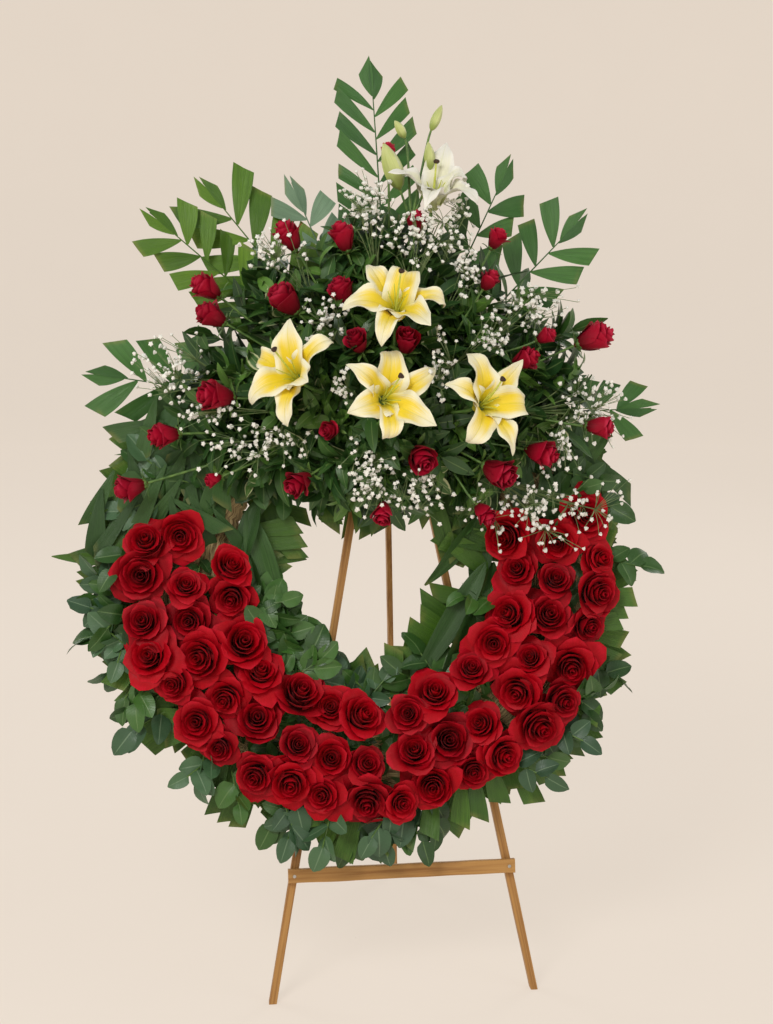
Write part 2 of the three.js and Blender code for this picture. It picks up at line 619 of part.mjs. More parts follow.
// A palm frond lies along its rachis, with leaflets on both sides whose ends are cut aslant.
function palmFrond({ base, tip, leaflet, bend }, layer) {
  const start = new THREE.Vector2(FOCUS.x, FOCUS.y);
  const end = new THREE.Vector2(...tip);
  const along = end.clone().sub(start).normalize();
  const side = new THREE.Vector2(along.y, -along.x);
  const foot = 62;
  const total = end.distanceTo(start);
  const first = new THREE.Vector2(...base).distanceTo(start);
  const blade = total - first;
  const pairs = Math.round(blade / 42) + 1;
  const pitch = (0.86 * blade) / pairs;
  const half = (k, sign) => {
    const low = first + (k + (sign > 0 ? 0.15 : 0.45)) * pitch;
    const t = (low - first) / blade;
    const length = leaflet * (0.7 + 0.3 * Math.sin(Math.PI * Math.min(1, 0.25 + 0.7 * t))) * (1 - 0.35 * t);
    const angle = (58 - 26 * t) * RAD;
    const point = (from, reach) => [from + reach * Math.cos(angle), sign * (1.6 + reach * Math.sin(angle))];
    return [point(low, 0), point(low, length), point(low + 0.72 * pitch, 0.8 * length), point(low + 0.72 * pitch, 0)];
  };
  const rightSide = [];
  const leftSide = [];
  for (let k = 0; k < pairs; k++) {
    rightSide.push(...half(k, 1));
    leftSide.push(...half(k, -1));
  }
  const outline = [
    [foot, 3], ...rightSide, [total - 0.06 * blade, 7],
    [total, 2],
    [total - 0.03 * blade, -6], ...leftSide.reverse(), [foot, -3],
  ];
  const points = outline.map(([a, b]) => [start.x + along.x * a + side.x * b, start.y + along.y * a + side.y * b]);
  const sheet = extrude(points, 2, 64.6 + 2.6 * layer);
  return solid(lift(sheet, (x, y) => {
    const reach = (x - start.x) * along.x + (y - start.y) * along.y;
    return bend * Math.max(0, (reach - first + 30) / (blade + 30)) ** 2;
  }));
}

function foamTray() {
  const { across, up, length, width, back, rim, wall } = TRAY;
  const [x, y] = [length / 2, width / 2];
  const outer = solid(box([across - x, up - y, back], [across + x, up + y, back + rim]));
  const [ix, iy] = [x - wall, y - wall];
  return outer.subtract(solid(box([across - ix, up - iy, back + wall], [across + ix, up + iy, back + rim + 5])));
}

// Each flower is cut clear of those placed before it; the leaves and the foam give way to them all.
function addSpray(wreath, ringNeighbours) {
  const makers = [
    ...LILIES.map((item) => [item.name, (grow) => lily(item, grow), MATERIALS.lily]),
    ...ROSE_BUNCHES.map((item) => [item.name, (grow) => roseBunch(item, grow), MATERIALS.rose]),
    ['lily_buds', lilyBuds, MATERIALS.bud],
    ...GYPSOPHILA.map((item) => [item.name, (grow) => gypsophila(item, grow), MATERIALS.gypsophila]),
  ];
  const taken = [...ringNeighbours];
  for (const [name, make, material] of makers) {
    const cut = taken.reduce((left, other) => left.subtract(other), make(0));
    addMesh(wreath, name, geometryOf(largest(cut)), material);
    taken.push(make(2 * GAP));
  }
  const { across, up, length, width, back } = TRAY;
  const [x, y] = [length / 2 + GAP, width / 2 + GAP];
  const pocket = solid(box([across - x, up - y, back - 20], [across + x, up + y, FOAM.front + GAP]));
  const leaves = [...taken, pocket].reduce((left, other) => left.subtract(other), greenery());
  addMesh(wreath, 'spray_greenery', geometryOf(largest(leaves)), MATERIALS.leaf);
  const block = solid(box(
    FOAM_MIDDLE.clone().sub(FOAM_HALF).toArray(),
    FOAM_MIDDLE.clone().add(FOAM_HALF).toArray(),
  ));
  const foam = taken.slice(ringNeighbours.length).reduce((left, other) => left.subtract(other), block);
  addMesh(wreath, 'foam_block', geometryOf(largest(foam)), MATERIALS.foam);
  const tray = taken.slice(ringNeighbours.length).reduce((left, other) => left.subtract(other), foamTray());
  addMesh(wreath, 'foam_tray', geometryOf(largest(tray)), MATERIALS.tray);
  const layers = [0, 1, 0, 1, 0, 0, 1, 0];
  FRONDS.forEach((frond, k) => addMesh(wreath, frond.name, geometryOf(palmFrond(frond, layers[k])), MATERIALS.palm));
}

// ---------------------------------------------------------------- the whole object

function addWreath(leaning) {
  const wreath = new THREE.Group();
  wreath.position.set(WREATH.across, WREATH.up, 0);
  leaning.add(wreath);
  const wirePocket = hangingWire(GAP).translate([-WREATH.across, -WREATH.up, 0]);
  addMesh(wreath, 'straw_ring', geometryOf(strawRing().subtract(wirePocket)), MATERIALS.straw);
  addMesh(wreath, 'outer_palm_collar', geometryOf(largest(outerPalmCollar().subtract(wirePocket))), MATERIALS.palm);
  addMesh(wreath, 'inner_palm_collar', geometryOf(innerPalmCollar()), MATERIALS.palm);
  addMesh(wreath, 'leaf_bed', geometryOf(leafBed()), MATERIALS.leaf);
  const clusters = ringRoses();
  clusters.forEach((cluster, k) => addMesh(wreath, `ring_roses_${k + 1}`, geometryOf(cluster), MATERIALS.rose));
  const ends = [clusters[0], clusters.at(-1)];
  addSpray(wreath, ends);
}

function build() {
  const model = new THREE.Group();
  const leaning = new THREE.Group();
  leaning.rotation.x = Math.PI / 2 - LEAN;
  model.add(leaning);
  const { rail, railBack } = addFrontFrame(leaning);
  addRearLeg(leaning, rail, railBack);
  addMesh(leaning, 'hanging_wire', geometryOf(hangingWire()), MATERIALS.steel);
  addWreath(leaning);

  // The origin is the middle of the base: the bottom centre of the box round everything.
  model.updateMatrixWorld(true);
  const extent = new THREE.Box3().setFromObject(model, true);
  const middle = extent.getCenter(new THREE.Vector3());
  leaning.position.set(-middle.x, -middle.y, 0);
  return model;
}

export default build();
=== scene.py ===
"""A funeral wreath of roses, lilies, palm and gypsophila on a wooden easel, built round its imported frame."""

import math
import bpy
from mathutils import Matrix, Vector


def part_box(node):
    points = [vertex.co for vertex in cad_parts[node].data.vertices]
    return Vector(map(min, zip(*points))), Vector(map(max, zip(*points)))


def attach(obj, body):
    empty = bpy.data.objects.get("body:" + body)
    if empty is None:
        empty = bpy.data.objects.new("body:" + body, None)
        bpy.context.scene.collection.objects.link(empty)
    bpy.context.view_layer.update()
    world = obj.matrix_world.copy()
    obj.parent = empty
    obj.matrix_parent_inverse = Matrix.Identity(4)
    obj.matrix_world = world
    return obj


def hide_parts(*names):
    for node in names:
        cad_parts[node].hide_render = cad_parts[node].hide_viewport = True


bl_info = {
    "name": "Flower Wreath on Easel",
    "version": (1, 0, 0),
    "blender": (4, 5, 0),
    "location": "View3D > Sidebar > Wreath",
    "description": "Builds the flowers, leaves, easel and studio of a funeral wreath",
    "category": "Add Mesh",
}

from typing import NamedTuple

import bpy
import numpy as np
from bpy.props import FloatProperty, FloatVectorProperty, IntProperty, PointerProperty
from mathutils import Vector

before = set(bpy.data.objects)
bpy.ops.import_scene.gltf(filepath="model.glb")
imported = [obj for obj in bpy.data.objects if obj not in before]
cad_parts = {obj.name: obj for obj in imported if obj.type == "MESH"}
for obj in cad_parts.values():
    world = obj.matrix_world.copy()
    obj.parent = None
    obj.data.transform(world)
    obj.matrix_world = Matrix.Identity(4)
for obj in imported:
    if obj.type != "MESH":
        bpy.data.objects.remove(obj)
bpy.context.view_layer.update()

FRONT = "front_frame"                      # the body that carries everything but the rear leg
MM = 0.001
GOLDEN = 2.399963                          # the golden angle, in radians
TONE_STEP = 0.618                          # from one piece's tone to the next, of a whole turn
SHARP_EDGE = math.radians(62)
LEAF_THICKNESS = 0.0008
PETAL_THICKNESS = 0.0011
LILY_THICKNESS = 0.0013
GAP = 0.0004                               # between touching boards
BAR_REACH = 0.2005                         # from the crossbar's middle to its end
NO_TRIS = np.zeros((0, 3), int)
FACING = np.array([0.0, 0.0, 1.0])         # straight out of the leaning plane

# ---------------------------------------------------------------- places

LEAN = math.radians(12)                    # the front frame and the wreath, back from the vertical
RING = np.array([-0.053, 0.751])           # the ring's centre: across, and up the leaning plane
ACROSS = np.array([1.0, 0.0, 0.0])
UP = np.array([0.0, math.sin(LEAN), math.cos(LEAN)])
OUT = np.array([0.0, -math.cos(LEAN), math.sin(LEAN)])


def easel_origin():
    """The point on the floor midway between the front feet, on the front legs' front face."""
    left_low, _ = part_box("front_leg_left")
    _, right_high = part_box("front_leg_right")
    return np.array([(left_low.x + right_high.x) / 2, left_low.y, 0.0])


ORIGIN = easel_origin()
CENTRE = ORIGIN + RING[0] * ACROSS + RING[1] * UP


def to_world(points, origin=CENTRE):
    """From across, up and out of the leaning plane to the frame's x, y and z."""
    return origin + points[..., :1] * ACROSS + points[..., 1:2] * UP + points[..., 2:3] * OUT


def clock(degrees, radius, out):
    """Points at a clock angle, clockwise from straight up, round the ring's centre and out of its back."""
    angle = np.radians(degrees)
    return joined(radius * np.sin(angle), radius * np.cos(angle), out)


# ---------------------------------------------------------------- arrays to meshes

class Shape(NamedTuple):
    """Points, quads and triangles, with three marks for each point that the materials read."""

    points: np.ndarray
    quads: np.ndarray
    tris: np.ndarray
    marks: np.ndarray


def shares(count):
    """Even shares from 0 to 1 along the second axis of (n, count, 3)."""
    return np.linspace(0, 1, count)[None, :, None]


def tones(n):
    """A tone from 0 to 1 for each of n pieces."""
    return np.arange(n) * TONE_STEP % 1


def joined(*arrays):
    """Broadcasts arrays against one another and joins them along a new last axis."""
    return np.stack(np.broadcast_arrays(*arrays), axis=-1)


def merge(shapes):
    """One shape from several, with their faces renumbered."""
    starts = np.cumsum([0] + [len(s.points) for s in shapes])
    return Shape(
        np.concatenate([s.points for s in shapes]),
        np.concatenate([s.quads + k for s, k in zip(shapes, starts)]),
        np.concatenate([s.tris + k for s, k in zip(shapes, starts)]),
        np.concatenate([s.marks for s in shapes]),
    )


def unit(v):
    """Vectors of length one."""
    return v / np.maximum(np.linalg.norm(v, axis=-1, keepdims=True), 1e-9)


def copies_of(faces, count, stride):
    """The same faces for each of several equal blocks of points."""
    return (faces[None] + (np.arange(count) * stride)[:, None, None]).reshape(-1, faces.shape[1])


def lens(sheets, thickness, marks):
    """Closed petals or leaves from sheets of shape (n, rows, columns, 3).

    The upper and the lower skin stand half the thickness off the sheet along its normal, which is
    the cross product of its two tangents, and meet in the sheet's own rim.
    """
    n, rows, cols = sheets.shape[:3]
    normal = unit(np.cross(np.gradient(sheets, axis=1), np.gradient(sheets, axis=2)))
    swell = np.zeros((rows, cols, 1))
    swell[1:-1, 1:-1] = thickness / 2

    def both(upper, lower):
        """The upper skin's rows, and the lower skin's without the rim that they share."""
        return np.concatenate([upper.reshape(n, -1, 3), lower[:, 1:-1, 1:-1].reshape(n, -1, 3)], axis=1)

    def quads(grid):
        return np.stack([grid[:-1, :-1], grid[1:, :-1], grid[1:, 1:], grid[:-1, 1:]], axis=-1).reshape(-1, 4)

    points = both(sheets + normal * swell, sheets - normal * swell)
    top = np.arange(rows * cols).reshape(rows, cols)
    bottom = top.copy()
    bottom[1:-1, 1:-1] = rows * cols + np.arange((rows - 2) * (cols - 2)).reshape(rows - 2, cols - 2)
    faces = np.concatenate([quads(top), quads(bottom)[:, ::-1]])
    return Shape(points.reshape(-1, 3), copies_of(faces, n, points.shape[1]), NO_TRIS,
                 both(marks, marks).reshape(-1, 3))


def sweep(paths, offsets, marks=None):
    """Closed bodies from sections carried along paths.

    paths is (n, m, 3) and offsets (n, m, k, 3), the section's points relative to the path; the
    points of a section run round the path's direction by the right hand. Each end is closed by a
    fan to its path point.
    """
    n, m, k = offsets.shape[:3]
    skin = paths[:, :, None] + offsets
    points = np.concatenate([skin.reshape(n, -1, 3), paths[:, :1], paths[:, -1:]], axis=1)
    grid = np.arange(m * k).reshape(m, k)
    nxt = np.roll(grid, -1, axis=1)
    quads = np.stack([grid[:-1], nxt[:-1], nxt[1:], grid[1:]], axis=-1).reshape(-1, 4)
    start, end = np.full(k, m * k), np.full(k, m * k + 1)
    tris = np.concatenate([
        np.stack([start, nxt[0], grid[0]], axis=-1),
        np.stack([end, grid[-1], nxt[-1]], axis=-1),
    ])
    if marks is None:
        marks = joined(shares(m), np.linspace(0, 1, k, endpoint=False), tones(n)[:, None, None])
    flat = np.concatenate([marks.reshape(n, -1, 3), marks[:, 0, :1], marks[:, -1, :1]], axis=1)
    stride = m * k + 2
    return Shape(points.reshape(-1, 3), copies_of(quads, n, stride), copies_of(tris, n, stride), flat.reshape(-1, 3))


def tube(paths, radii, sides=5):
    """Round stems: a circle of the given radius at each point of each path, square to the path.

    radii is one radius, one for each point of a path or of every path, or (n, m, sides) for a
    section that isn't round.
    """
    along = unit(np.gradient(paths, axis=1))
    mean = unit(along.mean(axis=1, keepdims=True))
    spare = np.where(np.abs(mean[..., 2:3]) < 0.8, np.array([0.0, 0.0, 1.0]), np.array([1.0, 0.0, 0.0]))
    side = unit(np.cross(along, np.broadcast_to(spare, along.shape)))
    up = np.cross(along, side)
    angle = np.linspace(0, 2 * np.pi, sides, endpoint=False)
    ring = side[:, :, None] * np.cos(angle)[:, None] + up[:, :, None] * np.sin(angle)[:, None]
    radii = np.asarray(radii)
    if radii.ndim < 3:
        radii = np.broadcast_to(radii, paths.shape[:2])[..., None]
    return sweep(paths, ring * radii[..., None])


def frames_along(direction, turn):
    """For each direction a set of three axes (n, 3, 3), its third row the direction, turned about it."""
    z = unit(direction)
    spare = np.where(np.abs(z[:, 1:2]) < 0.9, np.array([0.0, 1.0, 0.0]), np.array([1.0, 0.0, 0.0]))
    x0 = unit(np.cross(spare, z))
    y0 = np.cross(z, x0)
    c, s = np.cos(turn)[:, None], np.sin(turn)[:, None]
    return np.stack([c * x0 + s * y0, c * y0 - s * x0, z], axis=1)


def around(axes, turn):
    """Directions square to each frame's third axis, at the given turns."""
    return np.einsum("ki,nij->nkj", joined(np.cos(turn), np.sin(turn), 0.0), axes)


def bezier(p0, p1, p2, p3, t):
    """The cubic curve (1-t)^3 p0 + 3(1-t)^2 t p1 + 3(1-t) t^2 p2 + t^3 p3."""
    s = 1 - t
    return s ** 3 * p0 + 3 * s * s * t * p1 + 3 * s * t * t * p2 + t ** 3 * p3


def put(name, shape, material, replaced=(), place=to_world):
    """Makes the object, with its place in its mesh, and ties it to the front frame."""
    points = place(shape.points) if place else shape.points
    mesh = bpy.data.meshes.new(name)
    loops = np.concatenate([shape.quads.ravel(), shape.tris.ravel()]).astype(np.int32)
    totals = np.repeat([4, 3], [len(shape.quads), len(shape.tris)]).astype(np.int32)
    mesh.vertices.add(len(points))
    mesh.vertices.foreach_set("co", points.astype(np.float32).ravel())
    mesh.loops.add(len(loops))
    mesh.loops.foreach_set("vertex_index", loops)
    mesh.polygons.add(len(totals))
    mesh.polygons.foreach_set("loop_start", (np.cumsum(totals) - totals).astype(np.int32))
    mesh.polygons.foreach_set("loop_total", totals)
    mesh.polygons.foreach_set("use_smooth", np.ones(len(totals), bool))
    mesh.update(calc_edges=True)
    mesh.set_sharp_from_angle(angle=SHARP_EDGE)
    mesh.attributes.new("marks", "FLOAT_VECTOR", "POINT").data.foreach_set(
        "vector", shape.marks.astype(np.float32).ravel())
    mesh.materials.append(material)
    piece = bpy.data.objects.new(name, mesh)
    bpy.context.scene.collection.objects.link(piece)
    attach(piece, FRONT)
    if replaced:
        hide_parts(*replaced)


# ---------------------------------------------------------------- materials

class Value:
    """What a node gives, with the arithmetic that adds Math nodes to its tree."""

    def __init__(self, nodes, socket):
        self.nodes, self.socket = nodes, socket

    def __add__(self, other):
        return self.nodes.math("ADD", self, other)

    def __sub__(self, other):
        return self.nodes.math("SUBTRACT", self, other)

    def __mul__(self, other):
        return self.nodes.math("MULTIPLY", self, other)

    def __abs__(self):
        return self.nodes.math("ABSOLUTE", self)

    def step(self, low, high, start=0.0, end=1.0):
        """A smooth step from start, where the value is low, to end, where it is high."""
        inputs = {"Value": self, "From Min": low, "From Max": high, "To Min": start, "To Max": end}
        return self.nodes.add("MapRange", 0, inputs, interpolation_type="SMOOTHSTEP")


class Nodes:
    """A material's node tree, with short calls that add nodes and join them."""

    def __init__(self, name):
        self.material = bpy.data.materials.new(name)
        self.material.use_nodes = True
        self.tree = self.material.node_tree
        self.tree.nodes.clear()
        self.shader = self.tree.nodes.new("ShaderNodeBsdfPrincipled")
        output = self.tree.nodes.new("ShaderNodeOutputMaterial")
        self.tree.links.new(self.shader.outputs["BSDF"], output.inputs["Surface"])

    def feed(self, node, inputs):
        """Joins each input to what another node gives, or sets it."""
        for key, value in inputs.items():
            if isinstance(value, Value):
                self.tree.links.new(value.socket, node.inputs[key])
            else:
                node.inputs[key].default_value = value

    def add(self, kind, output, inputs, **settings):
        """Adds a node and gives one of its outputs."""
        node = self.tree.nodes.new(f"ShaderNode{kind}")
        for key, value in settings.items():
            setattr(node, key, value)
        self.feed(node, inputs)
        return Value(self, node.outputs[output])

    def shade(self, **values):
        """Sets the shader's sockets; a name's underscores stand for spaces."""
        self.feed(self.shader, {key.replace("_", " "): value for key, value in values.items()})

    def marks(self):
        """The three marks of the surface: as a vector, and as separate numbers."""
        vector = self.add("Attribute", "Vector", {}, attribute_name="marks")
        parts = self.add("SeparateXYZ", 0, {0: vector}).socket.node.outputs
        return vector, *(Value(self, part) for part in parts)

    def place(self, scale=(1, 1, 1), source=None):
        """Object coordinates, or another vector, stretched by a scale."""
        source = source or self.add("TexCoord", "Object", {})
        return self.add("Mapping", 0, {"Scale": scale, "Vector": source})

    def noise(self, vector, scale, detail=3.0):
        """Noise from 0 to 1, about a half."""
        return self.add("TexNoise", "Fac", {"Vector": vector, "Scale": scale, "Detail": detail, "Roughness": 0.5})

    def cells(self, vector, scale):
        """How far the nearest of the scattered points is."""
        return self.add("TexVoronoi", "Distance", {"Vector": vector, "Scale": scale})

    def math(self, operation, *values):
        return self.add("Math", 0, dict(enumerate(values)), operation=operation)

    def mix(self, amount, a, b):
        """From colour a to colour b; each is three numbers or what a node gives."""
        a, b = (colour if isinstance(colour, Value) else (*colour, 1.0) for colour in (a, b))
        return self.add("Mix", 2, {0: amount, 6: a, 7: b}, data_type="RGBA")

    def bump(self, height, strength, distance=0.001):
        """Raises the surface's shading by a height."""

        self.shade(Normal=self.add("Bump", 0, {"Height": height, "Strength": strength, "Distance": distance}))


def petal_material(name, deep, bright, rim):
    """Velvety petals: painted shade deep at the foot, bright towards the rim, with fine veins along them."""
    m = Nodes(name)
    vector, along, _, tone = m.marks()
    veins = m.noise(m.place((1.2, 26, 7), vector), 3.0, 2.0)
    mottle = m.noise(m.place(), 46.0, 2.0)
    # Painted shade: each petal darkens from its rim in to its foot, deep in the rose.
    body = m.mix(along.step(0.25, 0.95), deep, bright)
    body = m.mix((tone * 0.8 + mottle * 0.6).step(0.35, 1.25, 0.0, 0.6), body, deep)
    colour = m.mix(along.step(0.90, 1.0) * mottle.step(0.35, 0.6, 0.1, 0.75), body, rim)
    colour = m.mix(veins.step(0.35, 0.7, 0.0, 0.25), colour, deep)
    m.shade(Base_Color=colour, Roughness=mottle.step(0.3, 0.7, 0.44, 0.6))
    m.shade(Sheen_Weight=0.02, Sheen_Roughness=0.4, Specular_IOR_Level=0.14)
    m.bump(veins + mottle * 0.5, 0.22, 0.0012)
    return m.material


def leaf_material(name, dark, light, back, gloss=0.32, veins=16.0, variegated=0.0):
    """Leaves: a pale midrib and side veins, a tone of its own for each leaf and a waxy gloss."""
    m = Nodes(name)
    _, along, across, tone = m.marks()
    mottle = m.noise(m.place(), 60.0, 3.0)
    side = abs(across)
    slant = along * veins - side * (veins * 0.22)
    rib = abs(m.math("SINE", slant * math.pi)).step(0.0, 0.22, 1.0, 0.0)
    midrib = side.step(0.02, 0.1, 1.0, 0.0)
    colour = m.mix(tone * 0.75 + mottle * 0.3, dark, light)
    colour = m.mix(rib * 0.22, colour, light)
    colour = m.mix(midrib * 0.55, colour, back)
    if variegated:
        pale = (side + mottle * 0.5).step(0.85, 1.1, 0.0, variegated)
        colour = m.mix(pale, colour, (0.62, 0.66, 0.36))
    m.shade(Base_Color=colour, Roughness=mottle.step(0.3, 0.7, gloss, gloss + 0.16), Specular_IOR_Level=0.5)
    m.bump(m.math("MAXIMUM", rib, midrib) * -0.6 + mottle, 0.35, 0.0012)
    return m.material


def palm_material(name, dark, light):
    """Palm leaflets: close parallel ribs along the blade, satin, yellower at some ends."""
    m = Nodes(name)
    vector, along, _, tone = m.marks()
    ribs = m.noise(m.place((0.6, 15, 5), vector), 2.2, 3.0)
    mottle = m.noise(m.place(), 22.0, 3.0)
    colour = m.mix(tone * 0.6 + mottle * 0.5, dark, light)
    colour = m.mix(ribs.step(0.4, 0.62, 0.0, 0.45), colour, [0.55 * c for c in dark])
    dry = along.step(0.86, 1.0) * mottle.step(0.42, 0.6)
    colour = m.mix(dry * 0.3, colour, (0.30, 0.27, 0.07))
    m.shade(Base_Color=colour, Roughness=ribs.step(0.3, 0.7, 0.38, 0.56), Specular_IOR_Level=0.45)
    m.bump(ribs, 0.5, 0.0016)
    return m.material


def pine_material(name, upright=False):
    """Planed pine: growth lines along the board, a few knots and darker handling marks.

    The grain follows a board's own marks, or, on a board that has none, the object's z.
    """
    m = Nodes(name)
    source = None if upright else m.marks()[0]

    def stretch(along, across, depth):
        return m.place((across, depth, along) if upright else (along, across, depth), source)

    knots = m.cells(stretch(6.0, 26.0, 26.0), 1.15)
    lines = m.noise(stretch(2.4, 150.0, 60.0), 1.6, 4.0)
    fibre = m.noise(stretch(18.0, 900.0, 500.0), 1.0, 2.0)
    stain = m.noise(stretch(7.0, 22.0, 22.0), 1.3, 3.0)
    grain = (lines + knots.step(0.0, 0.4, 1.0, 0.0) * 0.35).step(0.36, 0.7)
    colour = m.mix(grain, (0.45, 0.232, 0.066), (0.27, 0.115, 0.026))
    colour = m.mix(fibre.step(0.35, 0.7, 0.0, 0.25), colour, (0.56, 0.335, 0.12))
    colour = m.mix(knots.step(0.05, 0.17, 0.85, 0.0), colour, (0.10, 0.035, 0.012))
    colour = m.mix(stain.step(0.58, 0.75, 0.0, 0.5), colour, (0.27, 0.12, 0.035))
    m.shade(Base_Color=colour, Roughness=lines.step(0.3, 0.7, 0.42, 0.6), Specular_IOR_Level=0.4)
    m.bump(lines + fibre * 0.6, 0.3, 0.0006)
    return m.material


def plain_material(name, low, high, scale, rough, bump=0.2, metal=0.0):
    """A mottled surface between two colours."""
    m = Nodes(name)
    mottle = m.noise(m.place(), scale, 4.0)
    m.shade(Base_Color=m.mix(mottle.step(0.3, 0.7), low, high), Metallic=metal)
    m.shade(Roughness=mottle.step(0.3, 0.7, rough, rough + 0.12))
    m.bump(mottle, bump, 0.0008)
    return m.material


def straw_material(name):
    """Straw laid round the ring: long pale fibres with painted shade in the gaps between them."""
    m = Nodes(name)
    fibre = m.noise(m.place((7.0, 150.0, 1.0), m.marks()[0]), 1.0, 4.0)
    # The dark colour between the pale fibres is painted shade in the gaps.
    m.shade(Base_Color=m.mix(fibre.step(0.32, 0.66), (0.12, 0.075, 0.028), (0.52, 0.40, 0.19)), Roughness=0.85)
    m.bump(fibre, 0.9, 0.003)
    return m.material


def lily_material(name, throat, middle, edge):
    """Lily petals: green-yellow in the throat, yellow along the middle and white at the edges."""
    m = Nodes(name)
    vector, along, across, _ = m.marks()
    side = abs(across)
    veins = m.noise(m.place((1.0, 16, 3), vector), 2.0, 2.0)
    streak = (veins - 0.5) * 0.5
    border = m.math("MAXIMUM", (side + streak).step(0.42, 0.88), (along + streak).step(0.50, 0.90))
    groove = side.step(0.0, 0.09, 1.0, 0.0)
    colour = m.mix(border, middle, edge)
    colour = m.mix(along.step(0.12, 0.42, 1.0, 0.0), colour, throat)
    colour = m.mix(groove * 0.35, colour, throat)
    m.shade(Base_Color=colour, Roughness=veins.step(0.3, 0.7, 0.42, 0.55))
    m.shade(Sheen_Weight=0.1, Specular_IOR_Level=0.4)
    m.bump(veins + groove * -1.2, 0.45, 0.0012)
    return m.material


# ---------------------------------------------------------------- the easel's boards

def board(start, end, width, depth, wide, seed):
    """A sawn board along a line: a rounded rectangle that wavers a little, with worn corners.

    start and end are in the frame's own x, y and z, and wide is the direction of the width. Each
    section is width*x + depth*y over a superellipse |x|^p + |y|^p = 1, whose high power p leaves
    small round corners; slow waves of under a millimetre move its sides.
    """
    steps, sides, power, worn = 24, 32, 14, 0.0009
    rng = np.random.default_rng(seed)
    along = unit(end - start)
    side = unit(wide - (wide @ along) * along)
    other = np.cross(along, side)
    angle = np.linspace(0, 2 * np.pi, sides, endpoint=False) + np.pi / sides
    x, y = (np.sign(v) * np.abs(v) ** (2 / power) for v in (np.cos(angle), np.sin(angle)))
    t = np.linspace(0, 1, steps)[:, None]
    wave = sum(np.sin(t * k * 7.3 + rng.uniform(0, 6, 2)) * worn / (1 + 0.4 * k) for k in range(1, 5))
    size = np.array([width, depth]) / 2 - worn + 0.5 * wave
    offsets = side * (x * size[:, :1])[..., None] + other * (y * size[:, 1:])[..., None]
    run = t * np.linalg.norm(end - start) + rng.uniform(0, 3)
    marks = joined(run, x * width / 2, y * depth / 2)
    return sweep((start + (end - start) * t)[None], offsets[None], marks[None])


def cut_level(shape, start, along):
    """Slides the points of a board's foot along the board until they stand on the floor."""
    foot = (shape.points - start) @ along < 0.001
    points = shape.points.copy()
    points[foot] -= along * (points[foot, 2] / along[2])[:, None]
    return points


def plane_point(across, up, out):
    """A point of the easel: across from its middle, up its leaning plane and out of it."""
    return ORIGIN + across * ACROSS + up * UP + out * OUT


def build_front_legs(size):
    """The two front legs, cut level at the floor and mitred where they meet."""
    for side, word in ((-1, "left"), (1, "right")):
        foot = plane_point(side * size.foot_spread, 0.0, -size.leg_depth / 2)
        narrow = 1 - size.leg_top / size.apex_height
        head = plane_point(side * size.foot_spread * narrow, size.leg_top, -size.leg_depth / 2)
        shape = board(foot, head, size.leg_width, size.leg_depth, ACROSS, 3 + side)
        points = cut_level(shape, foot, unit(head - foot))
        over = (points[:, 0] - ORIGIN[0]) * side < GAP
        points[over, 0] = ORIGIN[0] + side * GAP
        put(f"easel_front_leg_{word}", shape._replace(points=points), finish("pine"),
            (f"front_leg_{word}",), place=None)


# ---------------------------------------------------------------- leaves

def leaf_axes(direction, facing):
    """Rows x, y and z of each leaf: y runs along it and z is its upper side's normal."""
    y = unit(direction)
    z = unit(facing - (facing * y).sum(-1, keepdims=True) * y)
    return np.stack([np.cross(y, z), y, z], axis=1)


def lance(t):
    """Narrow leaves, widest below the middle."""
    return 0.07 + 0.93 * np.sin(np.pi * t ** 0.82) ** 0.85


def oval(t):
    """Round leaves with a short point."""
    return 0.08 + 0.92 * np.sin(np.pi * t ** 0.72) ** 0.6


def blades(foot, direction, facing, length, width, outline, bend, fold=0.25, cut=0.0, wave=0.0, tone=None,
           rows=7, cols=5):
    """Leaves whose midrib is an arc and whose halves fold up along it.

    Along t and across s the point is x = s w(t), y = L sin(b t)/b and z = -L (1 - cos(b t))/b,
    raised by the fold times |x|, where w is the outline, L the length and b the bend. A cut end
    leans t back across the blade, by the cut's share of the length from one edge to the other.
    """
    foot, direction, facing = (v.reshape(-1, 3) for v in (foot, direction, facing))
    n = len(foot)
    length, width, bend, fold, cut, wave = (
        np.broadcast_to(v, n).astype(float)[:, None, None] for v in (length, width, bend, fold, cut, wave))
    bend = np.where(np.abs(bend) < 0.001, 0.001, bend)
    t = shares(rows)
    s = np.linspace(-1, 1, cols)
    along = t * (1 - np.abs(cut) * (1 + np.sign(cut) * s) / 2)
    phase = (np.arange(n) * GOLDEN)[:, None, None]
    x = s * outline(t) * width / 2
    z = -length * (1 - np.cos(bend * along)) / bend + fold * np.abs(x)
    z = z + wave * width * np.sin(3 * np.pi * t + phase + 1.5 * s) * (0.3 + 0.7 * np.abs(s))
    local = joined(x, length * np.sin(bend * along) / bend, z)
    sheets = foot[:, None, None] + np.einsum("nrci,nij->nrcj", local, leaf_axes(direction, facing))
    tone = tones(n) if tone is None else np.broadcast_to(tone, n)
    return lens(sheets, LEAF_THICKNESS, joined(t, s, tone[:, None, None]))


def scatter(k, step):
    """An even scatter in 0..1: the k-th number of a sequence set by a step."""
    return (0.5 + (k + 1) * step) % 1


